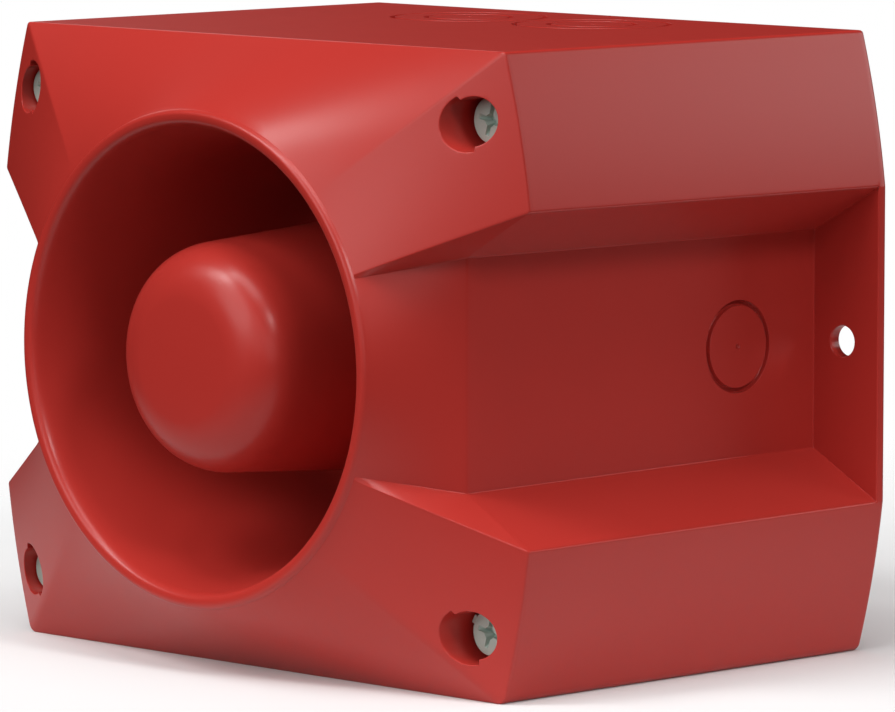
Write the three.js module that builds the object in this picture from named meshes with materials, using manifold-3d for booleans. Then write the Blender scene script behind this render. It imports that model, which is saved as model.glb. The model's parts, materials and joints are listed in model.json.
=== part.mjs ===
// Wall-mounted horn alarm sounder: a deep moulded housing, a bolt-on front cover with a folded horn,
// a compression driver behind the horn, and the electronics that drive it.
// Millimetres. +Z is up, the horn faces -Y, and the origin is the centre of the rear wall face.

import * as THREE from "three";
import { mergeVertices } from "three/addons/utils/BufferGeometryUtils.js";
import Module from "manifold-3d";

const wasm = await Module();
wasm.setup();

// ---------------------------------------------------------------- driving dimensions

const HALF_HEIGHT = 70;
const DEPTH = 113.8; // rear wall face to the front edge of the body
const PARTING_Y = -112.6; // the cover's rim meets the housing here
const WALL = 2.6;
const REAR_WALL = 3.6;
const EAR_THICKNESS = 3;
const BULGE = 0.7; // the side faces are slightly barrelled
const PARTING_GAP = 0.05;
const GASKET = { depth: 1.6, outer: 1.5, inner: 2.4 }; // insets from the body's outer face

// Half outline of the body at the parting plane and at the wall: the corner, the widest point,
// and the foot of the recess in each side.
const OUTLINE_FRONT = { cornerX: 76, sideX: 83.5, sideZ: 36.2, footX: 65, footZ: 25.5 };
const OUTLINE_REAR = { cornerX: 77.2, sideX: 84.3, sideZ: 35.4, footX: 65, footZ: 24.7 };
const TOP_STEPS = 12;
const SIDE_STEPS = 3;
const FOOT_STEPS = 6;

const MOUTH_R = 54.9; // where the cover's skin meets the rolled lip
const MOUTH_Y = -133.8;
const CORNER_ANGLE = 45; // directions on the lip that the outline's corners run to
const SIDE_ANGLE = 23.2;
const HORN_FLOOR_Y = -62.5;
const HORN_FLOOR = 3.5;
const HORN_WALL = 2.6;
const HORN_BACK = { flat: 38, shoulder: 43, mouth: 52, mouthY: -127.5 }; // rear face of the horn
const RIM_STEP = 0.3; // the cover's rim is thicker than the housing's wall by this much
const SLEEVE_GAP = 0.2;
const THROAT_HOLE_R = 10.4;

const SCREW_X = 70.6;
const SCREW_Z = 55.1;
const SCREW_BORE_R = 5.3;
// Each bore is wider over one sector, on the side towards the horn. The ends of the sector stop
// the lug on the screw's head.
const SECTOR = { radius: 6.35, from: 123, to: 282 };
const SLEEVE_R = 7.6;
const HEAD_Y = -112; // front of a cover screw's head
const HEAD = { radius: 5, depth: 3, edge: 0.5 };
const LUG = { reach: 5.95, width: 2.2, front: 0.4 };
const LUG_ANGLES = [262, 82, -27, 153]; // at rest, in the order of the corners
const CROSS = {
  reach: 3.4,
  width: 1.2,
  depth: 1.5,
  tilt: -15,
  centre: 1.7,
  point: 1.1,
  centreDepth: 2.2,
};
const SLEEVE_END_Y = -105;
const SEAT_Y = -108;
const SHANK = { radius: 2.5, hole: 2.85, length: 20, tip: 0.6 };
const CROSS_PIN = { reach: 3.6, half: 0.75, from: 17.6, to: 19.2 };
const KEYHOLE = { reach: 3.9, half: 1 };
const COLUMN = { radius: 6.9, end: -104.6, bore: 4.6, boreEnd: -90 };
const RECEPTACLE = { radius: 4.5, rear: -96 };
const SEAL = { inner: 2.75, outer: 5, depth: 0.8 };

const EAR_HOLE_X = 73.6;
const EAR_HOLE_R = 3.5;

const ENTRY_Y = -28.2;
const ENTRY_GROOVE = 0.9; // width of the thinned ring around a knock-out
const ENTRY_DEPTH = 0.7;
const SMALL_ENTRY_R = 10.4;
const LARGE_ENTRY_R = 18.2;
const TOP_ENTRY_X = 19.6;
const DIMPLE_R = 0.6;

const BULLET_FRONT_Y = -137.3;
const BULLET_REAR_Y = -72;
const BULLET_R = 25.5; // widening towards the rear
const BULLET_DRAFT = 0.069;
const BULLET_RIM = 13;
const BULLET_WALL = 2.2;
const BULLET_STEPS = 5; // facets in the rounded rim
const BULLET_Y0 = -125; // depth at which BULLET_R is measured
const LEG = { circle: 27.5, radius: 2.8, overlap: 6, hole: 1.7, pilotDepth: 8 };
const LEG_ANGLES = [90, 210, 330];

const THROAT = { front: -118, inner: 8.6, outer: 10, flange: 13.5, flangeDepth: 1.5, exit: 7.5 };
const DRIVER_R = 23.5;
const MAGNET_R = 16.5;
const DRIVER_SCREW_R = 20;
const DRIVER_GASKET = { inner: 13.8, depth: 1.5 };
const CLAMP = { front: -57.3, step: -56, rear: -53.4, inner: 9, pocket: 16.2 };
const DOME = { radius: 11, height: 2.2, edge: 15.8, y: -54.6, thickness: 0.35, steps: 3 };
const VOICE_COIL = { inner: 10.95, outer: 11.55, front: -54, rear: -50.2 };
const TOP_PLATE = { inner: 12.1, front: -53.25, rear: -50.4 };
const MAGNET = { inner: 13, front: -50.3, rear: -42.3 };
const POLE = { radius: 10.5, front: -53.1, yoke: -42.2, rear: -39.6 };
const DRIVER_SEAT_Y = -53.3;
const DRIVER_BACK_Y = -58.9; // the driver's gasket and the throat tube rest here

const CLEARANCE = 0.1; // between a part and the one it rests on
const HAIRLINE = 0.05;
const PILOT_R = 1.3;
const CLEAR_HOLE_R = 1.7;
const CLAMP_HOLE_R = 1.8;
const PILOT_DEPTH = 2.6; // in the horn's floor, under the driver screws
const BOARD_Y = -33; // front face of the main board
const BOARD = 1.6;
const BOARD_TOP_Y = BOARD_Y + BOARD + CLEARANCE; // the board's parts stand here
const MAIN_BOARD = { halfWidth: 32, bottom: -52, top: 30 };
const POST = { x: 27, z: 24, r: 3, pilotDepth: 9 };
const BASE_BOARD_Y = -10;
const BASE_BOARD = { halfWidth: 30, bottom: -60, top: -38 };
const BASE_POST = { x: 26, z: -56, r: 3 };
const PAN_HEAD = {
  shank: 1.1,
  radius: 2.6,
  height: 1.6,
  tip: 1,
  rim: 0.6, // shares of the height and the radius
  crown: 0.7,
  slot: { reach: 0.62, floor: 0.45, half: 0.3 },
};
const SCREW_LENGTH = { terminalBoard: 4, bullet: 10, driver: 7.6, mainBoard: 7 };
const CONTACT = { x: -18, z: -47, pitch: 3.5, count: 4, half: 8, tip: -28 };
const HEADER = { height: 2.5, half: 2.5, pin: 0.5, rooted: 1 };
const SOCKET = { rear: -22.8, half: 2.8, slot: 0.8, slotFront: -29 };
const TERMINAL = { x: 10, z: -45, pitch: 7, count: 4, front: -22, half: 5 };
const WELL = { radius: 2.3, depth: 6, z: -1.5, throat: 1.2 };
const WIRE_WAY = { half: 2.2, from: 6.5, to: 10.5, low: -3, high: 6 };
const TERMINAL_SCREW = { head: 2.1, headDepth: 1.8, shank: 1.05, length: 6.8, sunk: 1.2, slot: 0.35 };
const DIP = { x: -12, z: 16, pitch: 2.54, count: 4, rear: -27.4, half: 4.6, border: 0.8 };
const DIP_SLOT = { half: 0.75, reach: 2, depth: 1.6 };
const DIP_REST = -1; // the levers rest at the lower end of their slots
const DIP_LEVER = {
  foot: { x: 0.6, z: 0.8, front: -1.3, rear: -0.3 },
  knob: { x: 0.45, z: 0.5, front: -0.6, rear: 0.6 },
};
const TRIMMER = { x: 8, z: 18, rear: -26.2, half: 5, pocket: 3.4, pocketDepth: 1.4 };
const ROTOR = { radius: 3.1, sunk: 1.2, proud: 0.5, chamfer: 0.3, slot: 0.4, slotReach: 2.3 };
const CAN = { edge: 0.5, foot: 0.6, crimp: 2.5 };
const CAPACITOR_LARGE = { radius: 6.3, height: 16, x: 20, z: 2 };
const CAPACITOR_SMALL = { radius: 4, height: 11, x: 20, z: -12 };
const INDUCTOR = { x: -18, z: -2, flange: 6.5, coil: 5.4, height: 9, rim: 1.2, slope: 0.4 };
const CHIP = {
  z: -18,
  half: 9,
  depth: 3.7,
  lift: 0.3,
  height: 2.5,
  count: 7,
  pitch: 2.4,
  legHalf: 0.4,
  legHeight: 1,
  legReach: 5.2,
};
const TRANSISTOR = {
  x: 20,
  z: -38,
  half: 5,
  height: 4.4,
  bottom: 4.5,
  tab: 1.3,
  tabEnd: 11,
  hole: 1.8,
  holeZ: 8,
};
// Points of a driver lead: distance from the axis, depth, and turn from the lead's own angle.
const LEAD = {
  radius: 0.8,
  sides: 6,
  steps: 8,
  route: [
    [20.5, -53.2, 0],
    [20.5, -50, 0],
    [22.2, -43, 3],
    [21, -36, 0],
    [21, BOARD_Y - 0.15, 0],
  ],
};
const LEAD_ANGLES = { red: 20, black: 40 };

// ---------------------------------------------------------------- geometry helpers

const radians = THREE.MathUtils.degToRad;
const ROUND = 20;

// A closed surface from points and triangles, turned so that its faces point out.
function closedGeometry(points, triangles) {
  let volume = 0;
  const cross = new THREE.Vector3();
  for (const [a, b, c] of triangles) {
    volume += points[a].dot(cross.crossVectors(points[b], points[c]));
  }
  const index = triangles.flatMap(([a, b, c]) => (volume < 0 ? [a, c, b] : [a, b, c]));
  return new THREE.BufferGeometry().setFromPoints(points).setIndex(index);
}

// Skins a list of rings of equal length. Capped, the first and last rings are filled in;
// looped, the last ring joins the first.
function skin(rings, looped = false) {
  const count = rings[0].length;
  const points = rings.flat();
  const triangles = [];
  const last = looped ? rings.length : rings.length - 1;
  for (let i = 0; i < last; i += 1) {
    const here = i * count;
    const next = ((i + 1) % rings.length) * count;
    for (let j = 0; j < count; j += 1) {
      const k = (j + 1) % count;
      triangles.push([here + j, here + k, next + k], [here + j, next + k, next + j]);
    }
  }
  if (!looped) {
    const end = (rings.length - 1) * count;
    const flat = (ring) => ring.map((p) => new THREE.Vector2(p.x, p.z));
    for (const [a, b, c] of THREE.ShapeUtils.triangulateShape(flat(rings[0]), [])) {
      triangles.push([a, c, b]);
    }
    for (const [a, b, c] of THREE.ShapeUtils.triangulateShape(flat(rings.at(-1)), [])) {
      triangles.push([end + a, end + b, end + c]);
    }
  }
  return closedGeometry(points, triangles);
}

function lathe(profile, segments = ROUND) {
  return new THREE.LatheGeometry(profile.map(([r, y]) => new THREE.Vector2(r, y)), segments);
}

function cylinder(radius, y0, y1, segments = ROUND) {
  const low = Math.min(y0, y1);
  const high = Math.max(y0, y1);
  return lathe([[0, low], [radius, low], [radius, high], [0, high]], segments);
}

function ring(inner, outer, y0, y1, segments = ROUND) {
  return lathe([[inner, y0], [outer, y0], [outer, y1], [inner, y1], [inner, y0]], segments);
}

function box(x0, x1, y0, y1, z0, z1) {
  const made = new THREE.BoxGeometry(x1 - x0, y1 - y0, z1 - z0);
  return made.translate((x0 + x1) / 2, (y0 + y1) / 2, (z0 + z1) / 2);
}

function solid(geometry) {
  const bare = geometry.clone();
  bare.deleteAttribute("normal");
  bare.deleteAttribute("uv");
  const merged = mergeVertices(bare, 1e-4);
  const index = merged.index.array;
  const kept = [];
  for (let i = 0; i < index.length; i += 3) {
    const [a, b, c] = [index[i], index[i + 1], index[i + 2]];
    if (a !== b && b !== c && a !== c) {
      kept.push(a, b, c);
    }
  }
  return new wasm.Manifold(
    new wasm.Mesh({
      numProp: 3,
      vertProperties: new Float32Array(merged.attributes.position.array),
      triVerts: new Uint32Array(kept),
    }),
  );
}

function geometryOf(manifold) {
  const mesh = manifold.getMesh();
  const made = new THREE.BufferGeometry();
  made.setAttribute("position", new THREE.BufferAttribute(mesh.vertProperties, 3));
  made.setIndex(new THREE.BufferAttribute(mesh.triVerts, 1));
  return made;
}

// Joins the solids in `added` and then takes every one in `removed` away.
function carve(added, removed = []) {
  let made = solid(added[0]);
  for (const piece of added.slice(1)) {
    made = made.add(solid(piece));
  }
  for (const piece of removed) {
    made = made.subtract(solid(piece));
  }
  return geometryOf(made);
}

// The same piece at each of the four cover screws.
const screwCorners = [
  [1, 1],
  [-1, 1],
  [-1, -1],
  [1, -1],
];

function atCorners(make) {
  return screwCorners.map(([x, z]) => make(x, z).translate(x * SCREW_X, 0, z * SCREW_Z));
}

// The same piece at each of the two posts that carry the terminal board.
function atBasePosts(make) {
  return [-1, 1].map((side) => make().translate(side * BASE_POST.x, 0, BASE_POST.z));
}

// ---------------------------------------------------------------- body outline

// The outline at one depth as corner points, each with the direction on the lip it runs to.
function outlineCorners(size) {
  const quarter = [
    [size.cornerX, HALF_HEIGHT, CORNER_ANGLE, TOP_STEPS],
    [-size.cornerX, HALF_HEIGHT, 180 - CORNER_ANGLE, SIDE_STEPS],
    [-size.sideX, size.sideZ, 180 - SIDE_ANGLE, 1],
    [-size.footX, size.footZ, 180 - SIDE_ANGLE, FOOT_STEPS],
    [-size.footX, -size.footZ, 180 + SIDE_ANGLE, 1],
    [-size.sideX, -size.sideZ, 180 + SIDE_ANGLE, SIDE_STEPS],
  ];
  const half = quarter.map(([x, z, angle, steps]) => ({ x, z, angle, steps }));
  const turned = half.map((c) => ({ x: -c.x, z: -c.z, angle: c.angle + 180, steps: c.steps }));
  return [...half, ...turned];
}

// Moves each corner inwards so that every edge shifts by `inset`.
function insetCorners(corners, inset) {
  const count = corners.length;
  const edge = (i) => {
    const a = corners[i];
    const b = corners[(i + 1) % count];
    const length = Math.hypot(b.x - a.x, b.z - a.z);
    const normal = { x: -(b.z - a.z) / length, z: (b.x - a.x) / length };
    return { normal, offset: normal.x * a.x + normal.z * a.z + inset };
  };
  return corners.map((corner, i) => {
    const before = edge((i + count - 1) % count);
    const after = edge(i);
    const across = before.normal.x * after.normal.z - before.normal.z * after.normal.x;
    const x = (before.offset * after.normal.z - after.offset * before.normal.z) / across;
    const z = (before.normal.x * after.offset - after.normal.x * before.offset) / across;
    return { ...corner, x, z };
  });
}

// The outline subdivided into short steps, with the barrel on the side faces.
function outlinePoints(size, inset = 0) {
  const corners = insetCorners(outlineCorners(size), inset);
  const points = [];
  corners.forEach((from, i) => {
    const to = corners[(i + 1) % corners.length];
    const turn = (to.angle - from.angle + 360) % 360;
    const swell = from.steps === SIDE_STEPS ? BULGE : 0;
    for (let step = 0; step < from.steps; step += 1) {
      const t = step / from.steps;
      const out = swell * 4 * t * (1 - t);
      const length = Math.hypot(to.x - from.x, to.z - from.z);
      const x = from.x + (to.x - from.x) * t + (out * (to.z - from.z)) / length;
      const z = from.z + (to.z - from.z) * t - (out * (to.x - from.x)) / length;
      points.push({ x, z, angle: from.angle + turn * t });
    }
  });
  return points;
}

function blendSize(t) {
  const mix = {};
  for (const key of Object.keys(OUTLINE_FRONT)) {
    mix[key] = OUTLINE_FRONT[key] + (OUTLINE_REAR[key] - OUTLINE_FRONT[key]) * t;
  }
  return mix;
}

// The outline at depth y, inset from the outer face.
function outlineRing(y, inset = 0) {
  const points = outlinePoints(blendSize(1 + y / DEPTH), inset);
  return points.map((p) => new THREE.Vector3(p.x, y, p.z));
}

function outlineBlock(y0, y1, inset = 0) {
  return skin([outlineRing(y0, inset), outlineRing(y1, inset)]);
}

// ---------------------------------------------------------------- housing

// A thinned ring and a centre dimple, as cutters around the Y axis with their face at y = 0.
function entryCutters(radius) {
  return [
    ring(radius - ENTRY_GROOVE, radius, -ENTRY_DEPTH, 1),
    cylinder(DIMPLE_R, -ENTRY_DEPTH, 1, 8),
  ];
}

function topEntryCutters() {
  const cutters = [];
  for (const x of [-TOP_ENTRY_X, TOP_ENTRY_X]) {
    const rings = [ring(LARGE_ENTRY_R - ENTRY_GROOVE, LARGE_ENTRY_R, -ENTRY_DEPTH, 1, 24)];
    for (const cutter of [...rings, ...entryCutters(SMALL_ENTRY_R)]) {
      cutters.push(cutter.rotateX(Math.PI / 2).translate(x, ENTRY_Y, HALF_HEIGHT));
    }
  }
  return cutters;
}

function sideEntryCutters() {
  const cutters = [];
  for (const side of [-1, 1]) {
    for (const cutter of entryCutters(SMALL_ENTRY_R)) {
      const turned = cutter.rotateZ((-side * Math.PI) / 2);
      cutters.push(turned.translate(side * OUTLINE_FRONT.footX, ENTRY_Y, 0));
    }
  }
  return cutters;
}

function earSlab() {
  const { cornerX, sideX, sideZ } = OUTLINE_REAR;
  const shape = new THREE.Shape();
  shape.moveTo(cornerX, HALF_HEIGHT);
  shape.lineTo(-cornerX, HALF_HEIGHT);
  shape.lineTo(-sideX, sideZ);
  shape.lineTo(-sideX, -sideZ);
  shape.lineTo(-cornerX, -HALF_HEIGHT);
  shape.lineTo(cornerX, -HALF_HEIGHT);
  shape.lineTo(sideX, -sideZ);
  shape.lineTo(sideX, sideZ);
  const slab = new THREE.ExtrudeGeometry(shape, { depth: EAR_THICKNESS, bevelEnabled: false });
  return slab.rotateX(Math.PI / 2);
}

function housingGeometry() {
  const shell = carve(
    [outlineBlock(PARTING_Y, 0), earSlab()],
    [
      outlineBlock(PARTING_Y - 1, -REAR_WALL, WALL),
      outlineBlock(PARTING_Y - 1, PARTING_Y + GASKET.depth, WALL / 2),
    ],
  );
  const columns = atCorners(() => cylinder(COLUMN.radius, COLUMN.end, -REAR_WALL + 1, 16));
  const columnBores = atCorners(() => cylinder(COLUMN.bore, COLUMN.end - 1, COLUMN.boreEnd, 16));
  const postFront = BASE_BOARD_Y + BOARD + HAIRLINE;
  const basePosts = atBasePosts(() => cylinder(BASE_POST.r, postFront, -REAR_WALL + 1, 12));
  const basePilots = atBasePosts(() => cylinder(PILOT_R, BASE_BOARD_Y, -REAR_WALL - 1, 10));
  const earHoles = [-1, 1].map((side) =>
    cylinder(EAR_HOLE_R, -EAR_THICKNESS - 1, 1, 20).translate(side * EAR_HOLE_X, 0, 0),
  );
  return carve(
    [shell, ...columns, ...basePosts],
    [...columnBores, ...basePilots, ...earHoles, ...topEntryCutters(), ...sideEntryCutters()],
  );
}

function coverGasketGeometry() {
  const front = PARTING_Y + PARTING_GAP;
  const rear = PARTING_Y + GASKET.depth - 2 * PARTING_GAP;
  const rings = [
    outlineRing(front, GASKET.outer),
    outlineRing(rear, GASKET.outer),
    outlineRing(rear, GASKET.inner),
    outlineRing(front, GASKET.inner),
  ];
  return skin(rings, true);
}

// The bush in each column: a keyhole lets the screw's cross pin through, and its rear face
// holds the pin once the screw has turned.
function receptacleGeometry() {
  const { reach, half } = KEYHOLE;
  return carve(
    [cylinder(RECEPTACLE.radius, COLUMN.end + CLEARANCE, RECEPTACLE.rear, 12)],
    [
      cylinder(SHANK.hole, COLUMN.end - 1, RECEPTACLE.rear + 1, 12),
      box(-reach, reach, COLUMN.end - 1, RECEPTACLE.rear + 1, -half, half),
    ],
  );
}

// ---------------------------------------------------------------- front cover and horn

function circleRing(radius, y) {
  return outlinePoints(OUTLINE_FRONT).map((p) => {
    const angle = radians(p.angle);
    return new THREE.Vector3(radius * Math.cos(angle), y, radius * Math.sin(angle));
  });
}

// Inner wall of the horn from the rolled lip to its floor, as [radius, y].
const hornProfile = [
  [53.7, -134.8],
  [51.6, -133.8],
  [50.4, -131.4],
  [47.4, -115],
  [44.6, -95],
  [42.2, -75],
  [40.6, -66.5],
  [36.5, HORN_FLOOR_Y],
];

function coverShell() {
  const back = HORN_FLOOR_Y + HORN_FLOOR;
  const rearOf = ([radius, y]) => circleRing(radius + HORN_WALL, y);
  const rim = PARTING_Y - PARTING_GAP;
  const rings = [
    outlineRing(rim),
    outlineRing(-DEPTH),
    circleRing(MOUTH_R, MOUTH_Y),
    ...hornProfile.map(([radius, y]) => circleRing(radius, y)),
    circleRing(THROAT_HOLE_R, HORN_FLOOR_Y),
    circleRing(THROAT_HOLE_R, back),
    circleRing(HORN_BACK.flat, back),
    circleRing(HORN_BACK.shoulder, HORN_FLOOR_Y - 2),
    rearOf(hornProfile[4]),
    circleRing(HORN_BACK.mouth, HORN_BACK.mouthY),
    outlineRing(rim, WALL + RIM_STEP),
  ];
  return skin(rings, true);
}

// Tubes around the screws that end inside the cover's skin and stay clear of the housing's wall.
function screwSleeves() {
  const buried = 1;
  const face = skin([
    outlineRing(-DEPTH + buried),
    circleRing(MOUTH_R, MOUTH_Y + buried),
  ]);
  const inside = outlineBlock(-DEPTH, SLEEVE_END_Y, WALL + SLEEVE_GAP);
  const clear = solid(face).add(solid(inside));
  const made = atCorners(() => cylinder(SLEEVE_R, MOUTH_Y, SLEEVE_END_Y, 16));
  return made.map((sleeve) => geometryOf(solid(sleeve).intersect(clear)));
}

// A wedge of a disc around the Y axis, from y0 forwards by `length`, between two angles as seen
// from the front.
function sectorBlock(radius, from, to, y0, length) {
  const shape = new THREE.Shape();
  shape.moveTo(0, 0);
  shape.absarc(0, 0, radius, radians(from), radians(to), false);
  const made = new THREE.ExtrudeGeometry(shape, {
    depth: length,
    bevelEnabled: false,
    curveSegments: 12,
  });
  return made.rotateX(Math.PI / 2).translate(0, y0, 0);
}

function screwBores() {
  const reach = SEAT_Y - MOUTH_Y;
  const head = () => cylinder(SCREW_BORE_R, SEAT_Y, SEAT_Y - reach, 20);
  const shank = () => cylinder(SHANK.hole, SEAT_Y - 1, SLEEVE_END_Y + 1, 12);
  const sector = (x) => {
    const turn = x > 0 ? 0 : 180;
    return sectorBlock(SECTOR.radius, SECTOR.from + turn, SECTOR.to + turn, SEAT_Y, reach);
  };
  return [...atCorners(head), ...atCorners(shank), ...atCorners(sector)];
}

function boardPosts() {
  const spots = [];
  for (const x of [-POST.x, POST.x]) {
    for (const z of [-POST.z, POST.z]) {
      spots.push([x, z]);
    }
  }
  return spots;
}

function legSpots(radius) {
  return LEG_ANGLES.map((angle) => [
    radius * Math.cos(radians(angle)),
    radius * Math.sin(radians(angle)),
  ]);
}

function atSpots(spots, make) {
  return spots.map(([x, z]) => make().translate(x, 0, z));
}

function frontCoverGeometry() {
  const back = HORN_FLOOR_Y + HORN_FLOOR;
  const posts = atSpots(boardPosts(), () => cylinder(POST.r, back - 1, BOARD_Y - HAIRLINE, 12));
  const pilots = atSpots(boardPosts(), () =>
    cylinder(PILOT_R, BOARD_Y - POST.pilotDepth, BOARD_Y + 1, 10),
  );
  const legHoles = atSpots(legSpots(LEG.circle), () =>
    cylinder(LEG.hole, HORN_FLOOR_Y - 1, back + 1, 10),
  );
  const driverPilots = atSpots(legSpots(-DRIVER_SCREW_R), () =>
    cylinder(PILOT_R, back - PILOT_DEPTH, back + 1, 10),
  );
  return carve(
    [coverShell(), ...screwSleeves(), ...posts],
    [...screwBores(), ...pilots, ...legHoles, ...driverPilots],
  );
}

// Outer profile of the bullet from its rear rim to the middle of its face, as [radius, y].
function bulletProfile(inset) {
  const front = BULLET_FRONT_Y + inset;
  const rim = BULLET_RIM - inset;
  const centreY = front + rim;
  const sideAt = (y) => BULLET_R + BULLET_DRAFT * (y - BULLET_Y0) - inset;
  const profile = [[sideAt(BULLET_REAR_Y), BULLET_REAR_Y]];
  for (let step = 0; step <= BULLET_STEPS; step += 1) {
    const angle = ((step / BULLET_STEPS) * Math.PI) / 2;
    profile.push([
      sideAt(centreY) - rim + rim * Math.cos(angle),
      centreY - rim * Math.sin(angle),
    ]);
  }
  profile.push([0, front]);
  return profile;
}

// A deep cup, open at the rear, that folds the sound path back on itself.
function bulletGeometry() {
  const outer = bulletProfile(0);
  const inner = bulletProfile(BULLET_WALL);
  const cup = lathe([...outer.reverse(), ...inner], 28);
  const spots = legSpots(LEG.circle);
  const legs = atSpots(spots, () =>
    cylinder(LEG.radius, BULLET_REAR_Y - LEG.overlap, HORN_FLOOR_Y - HAIRLINE, 12),
  );
  const pilots = atSpots(spots, () =>
    cylinder(PILOT_R, HORN_FLOOR_Y - LEG.pilotDepth, HORN_FLOOR_Y + 1, 10),
  );
  return carve([cup, ...legs], pilots);
}

function throatTubeGeometry() {
  const { front, inner, outer, flange, flangeDepth, exit } = THROAT;
  return lathe([
    [inner, front],
    [outer, front],
    [outer, DRIVER_BACK_Y],
    [flange, DRIVER_BACK_Y],
    [flange, DRIVER_BACK_Y + flangeDepth],
    [exit, DRIVER_BACK_Y + flangeDepth],
    [inner, front],
  ]);
}

// ---------------------------------------------------------------- compression driver

function clampHoles(front, rear) {
  return atSpots(legSpots(-DRIVER_SCREW_R), () =>
    cylinder(CLAMP_HOLE_R, front - 1, rear + 1, 10),
  );
}

function driverGasketGeometry() {
  const front = DRIVER_BACK_Y;
  const rear = front + DRIVER_GASKET.depth;
  return carve([ring(DRIVER_GASKET.inner, DRIVER_R, front, rear)], clampHoles(front, rear));
}

function clampRingGeometry() {
  const { front, step, rear, inner, pocket } = CLAMP;
  const profile = [
    [inner, front],
    [DRIVER_R, front],
    [DRIVER_R, rear],
    [pocket, rear],
    [pocket, step],
    [inner, step],
    [inner, front],
  ];
  return carve([lathe(profile)], clampHoles(front, rear));
}

// A shallow dome with its flat surround.
function diaphragmGeometry() {
  const dome = (y) => {
    const profile = [];
    for (let step = 0; step <= DOME.steps; step += 1) {
      const share = step / DOME.steps;
      profile.push([DOME.radius * share, y - DOME.height * (1 - share ** 2)]);
    }
    return profile;
  };
  const back = DOME.y + DOME.thickness;
  return lathe([...dome(DOME.y), [DOME.edge, DOME.y], [DOME.edge, back], ...dome(back).reverse()]);
}

function polePieceGeometry() {
  const { radius, front, yoke, rear } = POLE;
  return lathe([
    [0, front],
    [radius, front],
    [radius, yoke],
    [MAGNET_R, yoke],
    [MAGNET_R, rear],
    [0, rear],
  ]);
}

// Round-headed screw pointing towards -Y, with its seat at y = 0 and a cross slot in the head.
function panScrewGeometry(length) {
  const { shank, radius, height, tip, rim, crown, slot } = PAN_HEAD;
  const body = lathe(
    [
      [0, -length],
      [shank, -length + tip],
      [shank, 0],
      [radius, 0],
      [radius, height * rim],
      [radius * crown, height],
      [0, height],
    ],
    8,
  );
  const reach = radius * slot.reach;
  const deep = height * slot.floor;
  return carve(
    [body],
    [
      box(-reach, reach, deep, height + 1, -slot.half, slot.half),
      box(-slot.half, slot.half, deep, height + 1, -reach, reach),
    ],
  );
}

// ---------------------------------------------------------------- quarter-turn cover screws

// Head, shank and cross pin; y = 0 at the front of the head, pointing to +Y.
function coverScrewGeometry(lugAngle) {
  const body = lathe(
    [
      [0, 0],
      [HEAD.radius - HEAD.edge, 0],
      [HEAD.radius, LUG.front],
      [HEAD.radius, HEAD.depth],
      [SHANK.radius, HEAD.depth],
      [SHANK.radius, SHANK.length - SHANK.tip],
      [SHANK.radius - SHANK.tip, SHANK.length],
      [0, SHANK.length],
    ],
    16,
  );
  const half = LUG.width / 2;
  const root = HEAD.radius - 1;
  const lug = box(root, LUG.reach, LUG.front, HEAD.depth, -half, half);
  lug.rotateY(radians(-lugAngle));
  const { reach, from, to } = CROSS_PIN;
  const pin = box(-reach, reach, from, to, -CROSS_PIN.half, CROSS_PIN.half);
  const arm = CROSS.width / 2;
  const cross = [
    box(-CROSS.reach, CROSS.reach, -1, CROSS.depth, -arm, arm),
    box(-arm, arm, -1, CROSS.depth, -CROSS.reach, CROSS.reach),
  ].map((cutter) => cutter.rotateY(radians(-CROSS.tilt)));
  const { centre, point, centreDepth } = CROSS;
  const middle = lathe([[0, -1], [centre, -1], [point, centreDepth], [0, centreDepth]], 8);
  return carve([body, lug, pin], [...cross, middle]);
}

// ---------------------------------------------------------------- boards and components

function mainBoardGeometry() {
  const rear = BOARD_Y + BOARD;
  const holes = atSpots(boardPosts(), () => cylinder(CLEAR_HOLE_R, BOARD_Y - 1, rear + 1, 10));
  const { halfWidth, bottom, top } = MAIN_BOARD;
  return carve([box(-halfWidth, halfWidth, BOARD_Y, rear, bottom, top)], holes);
}

function baseBoardGeometry() {
  const rear = BASE_BOARD_Y + BOARD;
  const holes = atBasePosts(() => cylinder(CLEAR_HOLE_R, BASE_BOARD_Y - 1, rear + 1, 10));
  const { halfWidth, bottom, top } = BASE_BOARD;
  return carve([box(-halfWidth, halfWidth, BASE_BOARD_Y, rear, bottom, top)], holes);
}

function rowOffsets({ count, pitch }) {
  return Array.from({ length: count }, (_, i) => (i - (count - 1) / 2) * pitch);
}

function contactHeaderGeometry() {
  const top = BASE_BOARD_Y - CLEARANCE;
  const { x, z, half, tip } = CONTACT;
  const { height, pin, rooted } = HEADER;
  const base = box(x - half, x + half, top - height, top, z - HEADER.half, z + HEADER.half);
  const pins = rowOffsets(CONTACT).map((dx) =>
    box(x + dx - pin, x + dx + pin, tip, top - rooted, z - pin, z + pin),
  );
  return carve([base, ...pins]);
}

function contactSocketGeometry() {
  const { x, z, half } = CONTACT;
  const { rear, slot, slotFront } = SOCKET;
  const body = box(x - half, x + half, BOARD_TOP_Y, rear, z - SOCKET.half, z + SOCKET.half);
  const slots = rowOffsets(CONTACT).map((dx) =>
    box(x + dx - slot, x + dx + slot, slotFront, rear + 1, z - slot, z + slot),
  );
  return carve([body], slots);
}

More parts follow.
